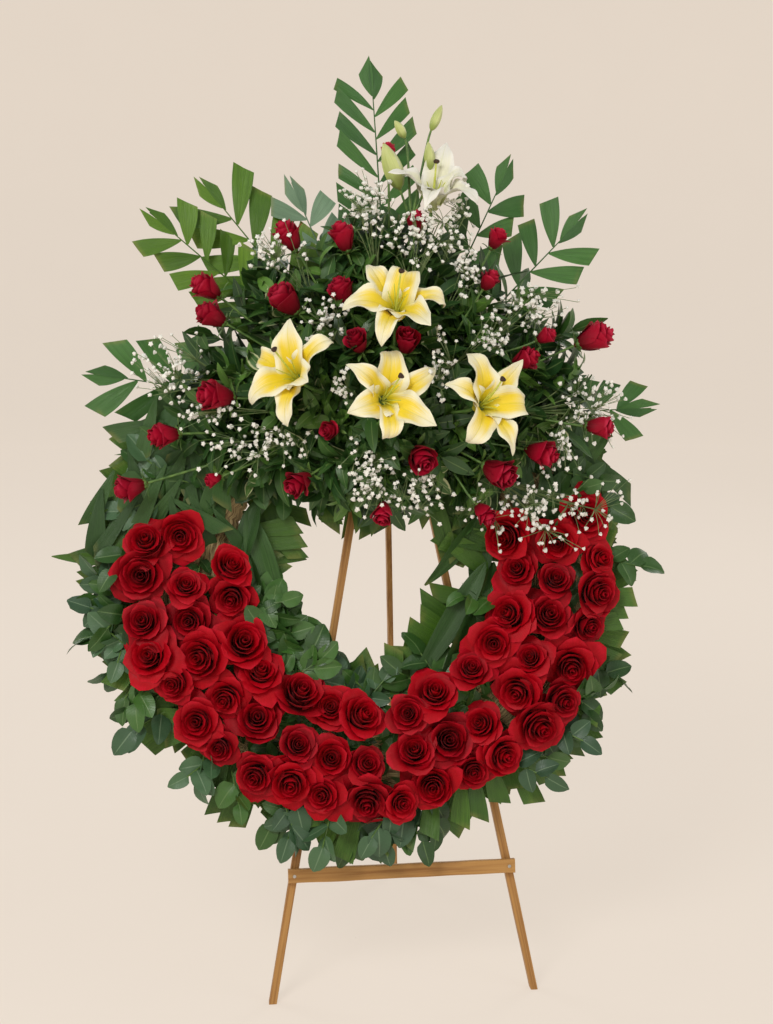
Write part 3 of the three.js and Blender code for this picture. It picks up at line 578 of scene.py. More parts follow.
def rose_petals(centre, facing, radius, turn, petals, seed, bud=0.0):
    """Rose heads: petals set at the golden angle, from a tight spiral out to a rolled rim.

    For petal q from 0 (inmost) to 1, the rim's radius R and height Z grow and fall with q. Along t
    the distance from the axis is R (1 - (1-t)^p), and near its end the rim rolls out and down;
    across s the petal spans an angle that shrinks with q, its sides fall back and its middle runs
    out to a point. bud closes the head from an open rose at 0 to a bud at 1.
    """
    n, rows, cols = len(centre), 7, 7
    rng = np.random.default_rng(seed)
    axes = frames_along(facing, turn)
    q = np.linspace(0, 1, petals)[None, :, None, None]
    t = np.linspace(0, 1, rows)[:, None]
    s = np.linspace(-1, 1, cols)
    vary = rng.normal(0, 1, (4, n, petals, 1, 1)).clip(-2, 2)
    loose = rng.uniform(0.75, 1.2, (n, 1, 1, 1))
    rim = 0.06 + (0.78 - 0.08 * bud) * q ** (1.05 - 0.35 * bud) * (1 + 0.07 * vary[0] * q)
    top = 0.50 + 0.30 * bud - (0.56 - 0.14 * bud) * loose * q ** 1.5 + 0.05 * vary[1] * (0.3 + q)
    base = -0.66 - 0.30 * bud
    span = 2.2 - (1.25 - 0.35 * bud) * q ** 0.6
    side = np.abs(s)
    reach = t * (1 - 0.26 * side ** 2.2 * (0.35 + 0.65 * q)) + 0.07 * q * t ** 3 * (1 - side) ** 1.6
    across = rim * (1 - (1 - np.clip(reach, 0, 1)) ** (1.7 + 2.6 * (1 - q) - 0.1 * bud))
    up = base + (top - base) * reach ** (1.0 + 0.35 * q)
    roll = np.maximum(0, (reach - 0.66) / 0.34) ** 1.8 * (1 + 0.35 * vary[3])
    ripple = 0.030 * q * np.sin(2.2 * np.pi * s + 6 * vary[2]) * reach ** 3
    across = across + (0.30 - 0.06 * bud) * q ** 1.1 * roll + 0.10 * q * side ** 3 * reach + ripple
    up = up - (0.26 - 0.08 * bud) * q ** 1.2 * roll - 0.10 * q * side ** 2.5 * reach + 0.7 * ripple
    width = 0.40 + 0.60 * np.sin(np.minimum(t / 0.62, 1) * np.pi / 2) - 0.10 * np.maximum(0, (t - 0.75) / 0.25) ** 2
    angle = np.arange(petals)[:, None, None] * GOLDEN + 0.2 * vary[0] + s * span * width + 0.35 * (1 - q) * reach
    size = np.asarray(radius)[:, None, None, None, None] * np.array([1.0, 1.0, 1.0 + 0.36 * bud])
    local = joined(across * np.cos(angle), across * np.sin(angle), up) * size
    sheets = centre[:, None, None, None] + np.einsum("npabi,nij->npabj", local, axes)
    tone = tones(n)[:, None, None, None] * 0.8 + 0.2 * np.abs(vary[2]).clip(0, 1)
    marks = joined(reach, s * (0.35 + 0.65 * q), tone)
    shape = (n * petals, rows, cols, 3)
    return lens(sheets.reshape(shape), PETAL_THICKNESS, marks.reshape(shape))


RING_MIDDLE = 0.320
RING_ROWS = ((0.245, 14, 0.2), (RING_MIDDLE, 17, 0.6), (0.392, 22, 0.35))
RING_FROM, RING_TO, RING_CLUSTERS = 74.0, 286.0, 9


def ring_rose_places():
    """Each ring rose's clock angle, distance from the ring's centre, width and turn."""
    rows = []
    for radius, count, start in RING_ROWS:
        k = np.arange(count)
        seed = k + 1000 * radius
        pitch = (RING_TO - RING_FROM) / count
        angle = RING_FROM + (k + start + 0.3 * (scatter(seed, 0.618) - 0.5)) * pitch
        distance = radius + 0.020 * (scatter(seed, 0.755) - 0.5)
        width = sizes().rose_width + sizes().rose_range * scatter(seed, 0.57)
        rows.append(np.stack([angle, distance, width, 6 * scatter(seed, 0.47)], axis=-1))
    return np.concatenate(rows)


def build_ring_roses():
    """The roses of the ring in bunches, one for each solid that they replace."""
    places = ring_rose_places()
    span = (RING_TO - RING_FROM) / RING_CLUSTERS
    for k in range(RING_CLUSTERS):
        low = RING_FROM + k * span
        here = places[(places[:, 0] >= low) & (places[:, 0] < low + span)]
        angle, distance, width, turn = here.T
        centre = clock(angle, distance, 0.105)
        facing = clock(angle, 4 * (distance - RING_MIDDLE), 1.0)
        rng = np.random.default_rng(40 + k)
        facing[:, :2] += rng.normal(0, 0.26, (len(here), 2)) + np.array([0.0, 0.10])
        centre[:, 2] += rng.normal(0, 0.005, len(here))
        petals = rose_petals(centre, facing, width * 0.57, turn, sizes().rose_petals, 60 + k)
        put(f"ring_rose_bunch_{k + 1}", petals, finish("rose"), (f"ring_roses_{k + 1}",))


# Spray roses in bunches: across, up, out and width, in millimetres from the ring's centre.
ROSE_BUNCHES = {
    "crown": ((45, 712, 130, 30), (85, 585, 165, 38), (-40, 562, 165, 48)),
    "top_right": ((225, 560, 150, 36), (205, 485, 180, 34), (300, 390, 175, 32)),
    "top_left": ((-130, 565, 155, 50), (-140, 455, 180, 54), (-45, 468, 185, 46)),
    "left": ((-270, 480, 150, 48), (-262, 432, 160, 48), (-258, 296, 180, 56)),
    "far_left": ((-345, 235, 150, 48), (-402, 150, 130, 48), (-265, 160, 160, 26)),
    "middle": ((58, 380, 205, 46), (-25, 382, 205, 42), (-72, 236, 200, 34)),
    "low": ((78, 186, 205, 54), (-125, 150, 185, 46), (12, 96, 195, 38)),
    "right": ((388, 388, 160, 58), (262, 350, 185, 44), (390, 235, 170, 44)),
    "low_right": ((285, 190, 190, 50), (208, 160, 200, 56), (185, 92, 185, 38)),
}
FOCUS = np.array([0.050, 0.268, 0.075])    # where the spray's stems meet


def build_spray_roses():
    """The spray's roses in bunches of three, with their stems, hips and sepals."""
    stems = []
    for k, (name, heads) in enumerate(ROSE_BUNCHES.items()):
        data = np.array(heads) * MM
        centre, radius = data[:, :3], data[:, 3] / 2
        facing, turn = unit(centre - FOCUS), np.arange(3.0)
        petals = rose_petals(centre, facing, radius * 1.04, turn, sizes().bud_petals, 80 + k, bud=1.0)
        put(f"spray_rose_bunch_{name}", petals, finish("pink_rose"), (f"spray_roses_{name}",))
        neck = centre - facing * (radius * 1.25)[:, None]
        fork = FOCUS + 0.45 * (centre.mean(axis=0) - FOCUS)
        stems.append(tube(bezier(FOCUS, fork, (neck - facing * 0.05)[:, None], neck[:, None], shares(8)), 0.0021, 6))
        neck, facing, size = neck[:, None], facing[:, None], radius[:, None, None]
        hip = radius[:, None] * np.array([0.144, 0.272, 0.336, 0.368, 0.376, 0.368, 0.352, 0.320])
        stems.append(tube(neck + facing * shares(8) * 0.5 * size, hip, 8))
        away = around(frames_along(facing[:, 0], turn), np.arange(5) * math.radians(72))
        stems.append(blades(neck + away * 0.3 * size, away * 0.75 + facing * 0.5, away - facing,
                            np.repeat(radius, 5), np.repeat(radius * 0.36, 5), lance, -0.9, 0.1))
    put("spray_rose_stems", merge(stems), finish("stem"))


# ---------------------------------------------------------------- lilies

# Lilies: the middle across, up and out, the width, the turn, where they look, the finish and how closed.
LILIES = {
    "upper": ((37, 445, 255), 186, 8, (-0.05, 0.75, 1.0), "lily", 0.0),
    "left": ((-140, 330, 238), 182, 34, (-0.60, 0.40, 1.0), "lily", 0.0),
    "lower": ((22, 284, 259), 184, 20, (0.28, 0.10, 1.0), "lily", 0.0),
    "right": ((192, 276, 246), 178, 48, (0.55, 0.22, 1.0), "lily", 0.0),
    "top": ((118, 646, 172), 176, 10, (0.08, 0.85, 0.62), "white_lily", 0.6),
}
# Lily buds: foot, tip and width.
LILY_BUDS = (((61, 643, 150), (33, 718, 165), 31), ((73, 733, 140), (55, 761, 148), 15),
             ((116, 743, 150), (136, 787, 150), 15), ((113, 676, 150), (111, 724, 152), 17))
LILY_BUD_FORK = np.array([0.080, 0.590, 0.140])


def lily_petals(centre, axes, radius, seed, closed):
    """A lily's six petals: an inner three that are broad and an outer three that are narrower.

    In the plane through the flower's axis a petal is the curve whose direction turns, along t, from
    almost along the axis to almost square to it, and on past it at the tip, which curls back. Its
    half width is a skewed sine that ends in a point; its edges lean in over the throat and wave.
    """
    rng = np.random.default_rng(seed)
    rows, cols = 26, 13
    k = np.arange(6)[:, None, None]
    t = shares(rows)
    s = np.linspace(-1, 1, cols)
    side = np.abs(s) ** 1.6
    inner = k % 2
    tip = np.radians(rng.permutation([25.0, 60.0, 90.0, 130.0, 200.0, 105.0]))[:, None, None]
    spread = np.radians(60 + 10 * rng.normal(0, 1, (6, 1, 1)) - 18 * closed) + np.radians(8) * (1 - inner)
    turn = np.radians(14) + (spread - np.radians(14)) * np.sin(np.clip(t / 0.70, 0, 1) * np.pi / 2) ** 1.7
    turn = turn + tip * np.maximum(0, (t - 0.55) / 0.45) ** 1.4
    step = np.where(inner, 1.30, 1.36) * (1 + 0.04 * rng.normal(0, 1, (6, 1, 1))) / (rows - 1)
    radial = 0.03 + np.cumsum(np.sin(turn) * step, axis=1)
    axial = -0.60 + np.cumsum(np.cos(turn) * step, axis=1)
    half = np.where(inner, 0.285, 0.205) * (0.22 * (1 - t) ** 2 + np.sin(np.pi * t ** 0.95).clip(0, 1) ** 0.86)
    half = half * (1 - 0.30 * np.maximum(0, (t - 0.8) / 0.2)) + 0.006
    cup = half * (0.70 - 0.75 * t) * side
    wave = 0.078 * np.sin(5.2 * np.pi * t + 2.1 * k + 1.6 * s) * side * np.sin(np.pi * t)
    groove = -0.020 * np.exp(-(s / 0.13) ** 2) * np.sin(np.pi * t)
    off = cup + wave + groove + np.where(inner, 0.02, -0.015)
    across = radial - np.cos(turn) * off
    angle = k * np.pi / 3 + 0.10 * rng.normal(0, 1, (6, 1, 1)) * t
    local = joined(across * np.cos(angle) - s * half * np.sin(angle),
                   across * np.sin(angle) + s * half * np.cos(angle), axial + np.sin(turn) * off)
    sheets = centre + np.einsum("nrci,ij->nrcj", local * radius, axes)
    return lens(sheets, LILY_THICKNESS, joined(t, s, 0 * k + rng.uniform()))


def lily_middle(centre, axes, radius, seed):
    """Six curved filaments, and the pistil that leans out past them to its dark knob."""
    rng = np.random.default_rng(seed)
    angle = np.arange(6) * np.pi / 3 + 0.5 + rng.normal(0, 0.15, 6)
    t = shares(9)
    outward = joined(np.cos(angle), np.sin(angle), 0.0)[:, None]
    lift = (0.52 + 0.08 * rng.normal(0, 1, 6))[:, None, None]
    local = outward * (0.02 + 0.16 * t ** 1.6) + FACING * (-0.46 + lift * t)
    lean = unit(np.array([0.25, 0.9, 0.0]) + rng.normal(0, 0.3, 3) * np.array([1, 1, 0]))
    line = FACING * (-0.46 + 0.80 * t) + lean * 0.30 * t ** 1.7
    filaments, pistil = (centre + (part @ axes) * radius for part in (local, line))
    way = unit(pistil[:, -1] - pistil[:, -2])
    knob = pistil[:, -1:] + way[:, None] * np.linspace(-0.002, 0.005, 5)[:, None]
    thirds = 1 + 0.22 * np.cos(3 * np.linspace(0, 2 * np.pi, 12, endpoint=False))
    head = 0.0050 * np.array([0.5, 0.9, 1.0, 0.95, 0.6])[:, None] * thirds
    stalks = [tube(filaments, np.linspace(0.0015, 0.0007, 9), 6), tube(pistil, np.linspace(0.0022, 0.0014, 9), 8)]
    return merge(stalks), tube(knob, head[None], 12)


def build_lilies():
    """The open lilies, with their filaments, knobs and stems."""
    stalks, knobs, stems = [], [], []
    for seed, (name, (at, across, turn, look, kind, closed)) in enumerate(LILIES.items()):
        centre, facing = np.array(at) * MM, unit(np.array(look))
        radius = across * MM / 2 * sizes().lily_scale
        axes = frames_along(facing[None], np.radians([turn]))[0]
        petals = lily_petals(centre, axes, radius, 10 + seed, closed)
        put(f"lily_petals_{name}", petals, finish(kind), (f"lily_{name}",))
        for kept, part in zip((stalks, knobs), lily_middle(centre, axes, radius, 30 + seed)):
            kept.append(part)
        neck = centre - facing * radius * 0.50
        path = bezier(FOCUS, FOCUS + 0.5 * (neck - FOCUS), neck - facing * 0.05, neck, shares(10))
        stems.append(tube(path, np.linspace(0.0036, 0.0030, 10), 8))
        cup = neck + facing * np.linspace(-0.004, 0.014, 6)[None, :, None]
        stems.append(tube(cup, radius * np.array([0.035, 0.055, 0.07, 0.08, 0.085, 0.08]), 12))
    put("lily_filaments", merge(stalks), finish("filament"))
    put("lily_knobs", merge(knobs), finish("anther"))
    put("lily_stems", merge(stems), finish("stem"))


def build_lily_buds():
    """The buds with their six low lobes, on stems that part at a fork."""
    fork = LILY_BUD_FORK
    buds, stems = [], []
    t = np.linspace(0, 1, 12)[:, None]
    profile = 0.12 + 0.88 * np.sin(np.pi * t ** 0.8) ** 0.8
    profile[-1] = 0.10
    lobes = 1 + 0.10 * np.cos(6 * np.linspace(0, 2 * np.pi, 18, endpoint=False))
    for start, end, width in LILY_BUDS:
        a, b = np.array(start) * MM, np.array(end) * MM
        path = a + (b - a) * t + FACING * 0.004 * np.sin(np.pi * t)
        buds.append(tube(path[None], width * MM / 2 * (profile * lobes)[None], 18))
        line = bezier(fork, fork + 0.4 * (a - fork), a - 0.35 * (b - a), a, shares(8))
        stems.append(tube(line, np.linspace(0.0026, 0.0019, 8), 7))
    stems.append(tube(FOCUS + (fork - FOCUS) * shares(8), 0.003, 7))
    put("lily_bud_pods", merge(buds), finish("bud"), ("lily_buds",))
    put("lily_bud_stems", merge(stems), finish("stem"))


# ---------------------------------------------------------------- gypsophila

# Clouds of small flowers: the middle across, up and out, the half width and height, and how many.
CLOUDS = {
    "left": (((-190, 215, 175), (85, 45), 101), ((-330, 345, 150), (55, 50), 79), ((-260, 275, 165), (50, 28), 43),
             ((-155, 545, 160), (50, 35), 58), ((-80, 415, 190), (38, 38), 52)),
    "top": (((0, 618, 180), (38, 42), 87), ((85, 560, 195), (65, 50), 116), ((170, 505, 175), (25, 45), 49),
            ((155, 600, 165), (32, 45), 34), ((200, 390, 205), (28, 28), 43), ((110, 335, 215), (25, 55), 43)),
    "right": (((285, 440, 165), (60, 40), 87), ((380, 265, 155), (60, 60), 92), ((295, 95, 160), (130, 58), 159),
              ((-15, 160, 205), (38, 60), 87), ((70, 125, 195), (55, 42), 63), ((320, 190, 175), (38, 40), 43),
              ((-55, 305, 215), (18, 24), 20)),
}


def build_gypsophila():
    """Clouds of florets with five lobes, each on a twig from the nearest fork of its cloud."""
    lobes = np.where(np.arange(10) % 2, 1.0, 0.66)
    for index, (name, clouds) in enumerate(CLOUDS.items()):
        rng = np.random.default_rng(300 + index)
        florets, twigs = [], []
        for middle, half, count in clouds:
            middle, half = np.array(middle) * MM, np.array(half) * MM
            spot = rng.normal(0, 0.52, (count, 2)).clip(-1.15, 1.15)
            tips = middle + np.column_stack([spot * half, rng.uniform(-0.022, 0.026, count)])
            facing = unit(unit(tips - FOCUS) + rng.normal(0, 0.5, (count, 3)) + 0.7 * FACING)[:, None]
            size = (sizes().floret_width / 2 * rng.uniform(0.76, 1.24, count))[:, None, None]
            path = tips[:, None] + facing * size * np.array([-0.9, -0.25, 0.25, 0.55])[:, None]
            florets.append(tube(path, size * np.array([0.3, 0.75, 1.0, 0.5])[:, None] * lobes, 10))
            root = middle + (FOCUS - middle) * 0.45
            many = max(4, count // 9)
            forks = middle + (root - middle) * 0.16 + rng.normal(0, 0.42, (many, 3)) * np.array([*half, 0.02])
            start = forks[np.linalg.norm(tips[:, None] - forks, axis=-1).argmin(axis=1)][:, None]
            ends = tips[:, None] - facing * size * 0.8
            t = shares(4)
            twigs.append(tube(start + (ends - start) * t + 0.006 * FACING * np.sin(np.pi * t), 0.0006, 3))
            trunk = bezier(root, root + 0.5 * (middle - root), forks[:, None], forks[:, None], shares(6))
            twigs.append(tube(trunk, 0.0009, 4))
        put(f"gypsophila_florets_{name}", merge(florets), finish("floret"), (f"gypsophila_{name}",))
        put(f"gypsophila_twigs_{name}", merge(twigs), finish("twig"))


# ---------------------------------------------------------------- palm fronds

class Frond(NamedTuple):
    """A palm frond: lengths in millimetres, from the ring's centre, and angles in degrees."""

    base: tuple                            # where the leaflets start, across and up
    tip: tuple
    leaflet: float                         # the longest leaflet
    bend: float                            # how far the tip stands out of the frond's plane
    layer: int                             # its place in the stack, from the back
    finish: str = "palm"
    pitch: float = 46                      # between two leaflets of a side
    below: int = 2                         # pairs below the base
    angle: float = 57                      # from the midrib to the lowest leaflets
    broad: float = 0.80                    # a leaflet's width, and an end one's, over the pitch
    end: float = 0.42


FRONDS = {
    "top": Frond((33, 540), (28, 894), 90, -20, 0, pitch=40, angle=50, broad=0.66, end=0.66),
    "top_left": Frond((-38, 508), (-122, 682), 62, 10, 1, "pale_palm"),
    "upper_left": Frond((-133, 468), (-276, 681), 102, 5, 0, "yellow_palm", below=3),
    "left": Frond((-210, 454), (-369, 624), 74, 30, 1, "yellow_palm", below=4),
    "low_left": Frond((-265, 301), (-474, 347), 84, 30, 0),
    "top_right": Frond((172, 478), (272, 716), 66, 0, 0),
    "upper_right": Frond((262, 468), (398, 616), 80, 20, 1),
    "low_right": Frond((380, 250), (514, 272), 64, 30, 0),
}


def wedge(t):
    """Cut palm: narrow at the foot and widening to the cut end."""
    return 0.14 + 0.86 * np.sin(np.minimum(t / 0.92, 1) * np.pi / 2) ** 1.1


def leaflet_outline(t):
    """Frond leaflets: they widen from the midrib almost to the cut end."""
    return 0.10 + 0.90 * np.sin(np.minimum(t / 0.86, 1) * np.pi / 2) ** 0.95


def build_fronds():
    """Each frond's leaflets leave a straight midrib in pairs; their ends are cut aslant."""
    for seed, (name, frond) in enumerate(FRONDS.items()):
        rng = np.random.default_rng(500 + seed)
        start, tip = FOCUS[:2], np.array(frond.tip) * MM
        total, first = np.linalg.norm(tip - start), np.linalg.norm(np.array(frond.base) * MM - start)
        along = (tip - start) / total
        side = np.array([along[1], -along[0]])
        blade = total - first
        pairs = int(round(0.9 * blade / (frond.pitch * MM)))
        pitch = 0.9 * blade / pairs

        def place(reach, away, up=0.0):
            """Where a point of the frond lies: along its midrib, away from it and above it."""
            flat = start + reach[..., None] * along + away[..., None] * side
            lift = frond.bend * MM * np.maximum(0, (reach - first + 0.03) / (blade + 0.03)) ** 2
            return np.column_stack([flat, 0.066 + 0.0026 * frond.layer + lift + up])

        k, sign = (v.ravel() for v in np.meshgrid(np.arange(-frond.below, pairs - 1), [1.0, -1.0], indexing="ij"))
        n = len(k)
        low = first + (k + np.where(sign > 0, 0.30, 0.60)) * pitch
        t = np.clip((low - first) / blade, 0, 1)
        length = 0.38 + 0.62 * np.sin(np.minimum((1 - t) / 0.42, 1) * np.pi / 2)
        length = length * sizes().frond_leaflet * frond.leaflet * MM * rng.uniform(0.93, 1.05, n)
        angle = np.radians(frond.angle - 12 * t) + rng.normal(0, 0.05, n)
        foot = place(low, sign * 0.001)
        end = place(low + length * np.cos(angle), sign * length * np.sin(angle), rng.normal(-0.004, 0.006, n))
        leaves = blades(foot, end - foot, rng.normal(0, 0.20, (n, 3)) + FACING, length,
                        pitch * rng.uniform(0.90, 1.06, n) * frond.broad, leaflet_outline,
                        rng.normal(0.1, 0.16, n), rng.uniform(0.05, 0.22, n),
                        sign * rng.uniform(0.10, 0.22, n), 0.012, None, 10, 7)
        last = place(total - np.array([0.072, 0.066]), np.array([0.001, -0.001]))
        point = place(total - np.array([0.002, 0.010]), np.array([0.011, -0.012]))
        tips = blades(last, point - last, np.array([[0.1, 0, 1.0], [-0.1, 0, 1.0]]), 0.072, pitch * frond.end,
                      leaflet_outline, 0.05, 0.1, np.array([0.4, -0.4]), 0.0, None, 10, 7)
        reach = np.linspace(0.062, total - 0.012, 30)
        spine = tube(place(reach, 0 * reach)[None], np.linspace(0.0024, 0.0008, 30), 7)
        put(f"palm_leaflets_{name}", merge([leaves, tips, spine]), finish(frond.finish),
            (f"palm_frond_{name}",))


# ---------------------------------------------------------------- the ring's leaves and straw

def ring_blades(angle, radius, level, heading, length, width, outline, rng, rise, tilt, **shape):
    """Leaves at clock angles round the ring, each headed by an angle from straight outwards."""
    n = len(angle)
    facing = FACING + rng.normal(0, tilt, (n, 3))
    return blades(clock(angle, radius, level), clock(angle + heading, 1.0, rise), facing, length, width, outline,
                  tone=rng.uniform(0, 1, n), **shape)


def palm_combs(angles, radius, level, reach, inward, spread, rng):
    """Pieces of palm frond: three leaflets side by side, cut aslant, all headed one way."""
    count, each = len(angles), 3
    n = count * each
    lean = np.repeat(rng.uniform(-38, 38, count), each)
    turn = lean + np.tile(np.linspace(-6, 6, each), count) * np.sign(lean)
    angle = np.repeat(angles, each) + np.tile(np.arange(each) - (each - 1) / 2, count) * spread
    low = np.repeat(level, each) + np.tile(np.arange(each) * 0.0012, count)
    length = np.abs(np.repeat(reach, each) - radius) / np.cos(np.radians(turn)) * rng.uniform(0.80, 1.10, n)
    lift = np.repeat(rng.uniform(-0.02, 0.16, count), each)
    return ring_blades(angle + rng.normal(0, 0.4, n), radius, low, turn + (180 if inward else 0), length,
                       sizes().comb_width * rng.uniform(0.85, 1.15, n), wedge, rng, lift, 0.12,
                       bend=rng.normal(0.1, 0.15, n), fold=rng.uniform(0.05, 0.22, n),
                       cut=np.sign(lean) * rng.uniform(0.06, 0.18, n), wave=0.01, rows=10)


def twig_tones(n, each, spread, rng):
    """A tone for each leaf: its twig's own, and a little of its own."""
    return np.clip(np.repeat(rng.uniform(0, 1, n), each) + rng.normal(0, spread, n * each), 0, 1)


def leaf_sprigs(angle, radius, level, heading, rng, each, size, rise):
    """Short twigs with round leaves in turn on both sides and one at the end."""
    n = len(angle)
    foot = clock(angle, radius, level)[:, None]
    way = unit(clock(angle + heading, 1.0, rng.normal(rise, 0.15, n)))
    axes = leaf_axes(way, unit(FACING + rng.normal(0, 0.35, (n, 3))))
    k = np.arange(each)
    gap = size * 0.36
    at = foot + way[:, None] * ((k + 0.4) * gap)[:, None]
    swing = np.where(k == each - 1, 0.0, np.where(k % 2, 0.85, -0.85))
    turn = (swing + rng.normal(0, 0.22, (n, each)))[..., None]
    direction = np.cos(turn) * axes[:, None, 1] + np.sin(turn) * axes[:, None, 0]
    facing = axes[:, None, 2] + rng.normal(0, 0.35, (n, each, 3))
    m = n * each
    length = size * rng.uniform(0.75, 1.15, m)
    tone = twig_tones(n, each, 0.15, rng)
    leaves = blades(at, direction, facing, length, length * 0.72 * rng.uniform(0.88, 1.1, m), oval,
                    rng.normal(0.45, 0.3, m), rng.uniform(0.1, 0.45, m), 0.0, 0.03, tone, 8)
    return leaves, tube(foot + way[:, None] * shares(5) * gap * each * 0.9, 0.0013)


# Stray leaves out past the rim: clock angle, heading from straight outwards, length and width.
STRAY_LEAVES = ((274, 0, 145, 22), (196, 8, 85, 10), (117, -12, 100, 16), (300, -15, 85, 20))
# The clock angles of the palm pieces in the hole, and how near to its centre the hanging ones reach.
HOLE_COMBS = (62, 78, 93, 112, 128, 146, 164, 183, 204, 222, 238, 252, 266, 281, 296, 309, 324, 338, 352, 8, 24, 42)
HANGING_REACH = (0.088, 0.072, 0.060, 0.074)
# Palm strips on the ring's shoulders: clock angles from and to, how many and their middle radius.
SHOULDER_STRIPS = ((292, 342, 26, 0.30), (286, 330, 20, 0.40), (22, 76, 24, 0.31), (34, 74, 16, 0.39),
                   (286, 318, 24, 0.345))
# Sprigs of round leaves: clock angles from and to, how many, radii from and to, heights from and to,
# and the heading from straight outwards with its spread.
EDGE_SPRIGS = ((302, 332, 8, 0.245, 0.265, 0.045, 0.06, 180, 60), (66, 232, 14, 0.405, 0.425, 0.045, 0.07, 0, 45),
               (232, 292, 9, 0.405, 0.42, 0.045, 0.07, 0, 45), (70, 200, 9, 0.225, 0.24, 0.04, 0.065, 180, 45),
               (200, 262, 26, 0.215, 0.24, 0.04, 0.075, 180, 40), (288, 312, 4, 0.29, 0.38, 0.064, 0.078, 0, 80),
               (46, 74, 5, 0.30, 0.40, 0.064, 0.078, 0, 80))
BED_SPRIGS = ((76, 284, 150, 0.255, 0.375, 0.058, 0.064, 0, 180),)
# These sprigs' leaves are dark green with a painted bluish sheen in their colour; the columns are as above.
BLUE_SPRIGS = ((236, 268, 9, 0.41, 0.425, 0.05, 0.08, 0, 40), (166, 228, 10, 0.405, 0.42, 0.05, 0.08, 0, 40),
               (100, 150, 2, 0.41, 0.42, 0.05, 0.08, 0, 40), (290, 306, 2, 0.36, 0.41, 0.066, 0.08, 0, 60),
               (174, 190, 4, 0.235, 0.25, 0.045, 0.06, 180, 50))
# Long broad leaves laid inside the hole: foot and tip across and up, width and height above the back.
LONG_LEAVES = (
    ((-205, 110), (-148, -128), 52, 58), ((-218, 60), (-176, -110), 44, 50), ((-232, 20), (-196, -120), 40, 44),
    ((205, 10), (78, -196), 42, 70), ((198, -40), (128, -222), 54, 62), ((196, 92), (118, -34), 40, 52),
    ((212, 88), (186, -52), 42, 48), ((222, 10), (170, -170), 50, 56), ((-60, -196), (118, -204), 34, 30),
    ((-45, 540), (38, 660), 46, 78), ((62, 470), (42, 600), 50, 124), ((150, 520), (182, 640), 32, 92),
    ((-20, -215), (150, -190), 34, 36), ((190, 120), (150, 40), 36, 40), ((-185, 130), (-230, 10), 40, 62),
)


def build_palm_leaves():
    """Cut palm round the rim and in the hole, the long leaves, and the strips on the shoulders."""
    rng = np.random.default_rng(700)
    outer, count = [], 30
    for start, stop, low, high, far in ((32, 330, 0.006, 0.012, 0.500), (40, 322, 0.030, 0.072, 0.482)):
        angles = start + (np.arange(count) + 0.5) * (stop - start) / count + rng.normal(0, 1.5, count)
        reach = rng.uniform(far - 0.042, far + 0.014, count)
        outer.append(palm_combs(angles, 0.385, rng.uniform(low, high, count), reach, False, 3.6, rng))
    angle, heading, length, width = np.array(STRAY_LEAVES).T
    outer.append(ring_blades(angle, 0.40, 0.03, heading, length * MM, width * MM, lance, rng, 0.0, 0.3,
                             bend=0.3, fold=0.3, wave=0.03, rows=12))
    put("outer_palm_leaves", merge(outer), finish("rim_palm"), ("outer_palm_collar",))

    angles = np.array(HOLE_COMBS, float)
    reach = rng.uniform(0.138, 0.170, len(angles))
    reach[2:5] -= 0.034
    reach[11:16] -= 0.040
    reach[17:21] = HANGING_REACH
    inner = palm_combs(angles, 0.245, rng.uniform(0.012, 0.050, len(angles)), reach, True, 6.4, rng)
    put("inner_palm_leaves", inner, finish("rim_palm"), ("inner_palm_collar",))

    data = np.array([(*foot, *tip, width, height) for foot, tip, width, height in LONG_LEAVES]) * MM
    n = len(data)
    way = np.column_stack([data[:, 2:4] - data[:, :2], np.full(n, 0.01)])
    facing = FACING + rng.normal(0, 0.45, (n, 3))
    broad = blades(data[:, [0, 1, 5]], way, facing, np.linalg.norm(way, axis=1) * 1.04, data[:, 4], lance,
                   rng.normal(0.35, 0.2, n), 0.28, 0.0, 0.03, rng.uniform(0.2, 0.9, n), 20, 9)
    put("long_leaves", broad, finish("dark_palm"))

    strips = []
    for start, stop, n, middle in SHOULDER_STRIPS:
        angle = rng.uniform(start, stop, n)
        radius = rng.uniform(middle - 0.05, middle + 0.05, n) + 0.03
        heading = 180 - angle + rng.normal(0, 26, n)
        strips.append(ring_blades(angle, radius, rng.uniform(0.064, 0.085, n), heading, rng.uniform(0.10, 0.15, n),
                                  rng.uniform(0.024, 0.036, n), wedge, rng, 0.05, 0.2,
                                  bend=rng.normal(0.4, 0.2, n), fold=0.15, cut=rng.choice([-0.2, 0.2], n),
                                  wave=0.01, rows=10))
    put("shoulder_palm_strips", merge(strips), finish("dark_palm"))


def build_bed_leaves():
    """Round leaves in sprigs: out past the rim, in past the hole's edge and between the roses."""
    rng = np.random.default_rng(720)
    twigs = []

    def sprigs(spans, each, share, rise):
        """The leaves of the spans' sprigs, a share of the usual size; their twigs are kept apart."""
        parts = []
        for start, stop, n, near, far, base, top, turn, swing in spans:
            leaves, twig = leaf_sprigs(rng.uniform(start, stop, n), rng.uniform(near, far, n),
                                       rng.uniform(base, top, n), turn + rng.normal(0, swing, n), rng, each,
                                       share * sizes().round_leaf, rise)
            parts.append(leaves)
            twigs.append(twig)
        return parts

    leaves = sprigs(EDGE_SPRIGS, 4, 0.92, 0.12) + sprigs(BED_SPRIGS, 3, 0.70, 0.02)
    put("bed_leaves", merge(leaves), finish("round"), ("leaf_bed",))
    put("blue_bed_leaves", merge(sprigs(BLUE_SPRIGS, 4, 0.96, 0.15)), finish("blue"))
    put("bed_twigs", merge(twigs), finish("stem"))


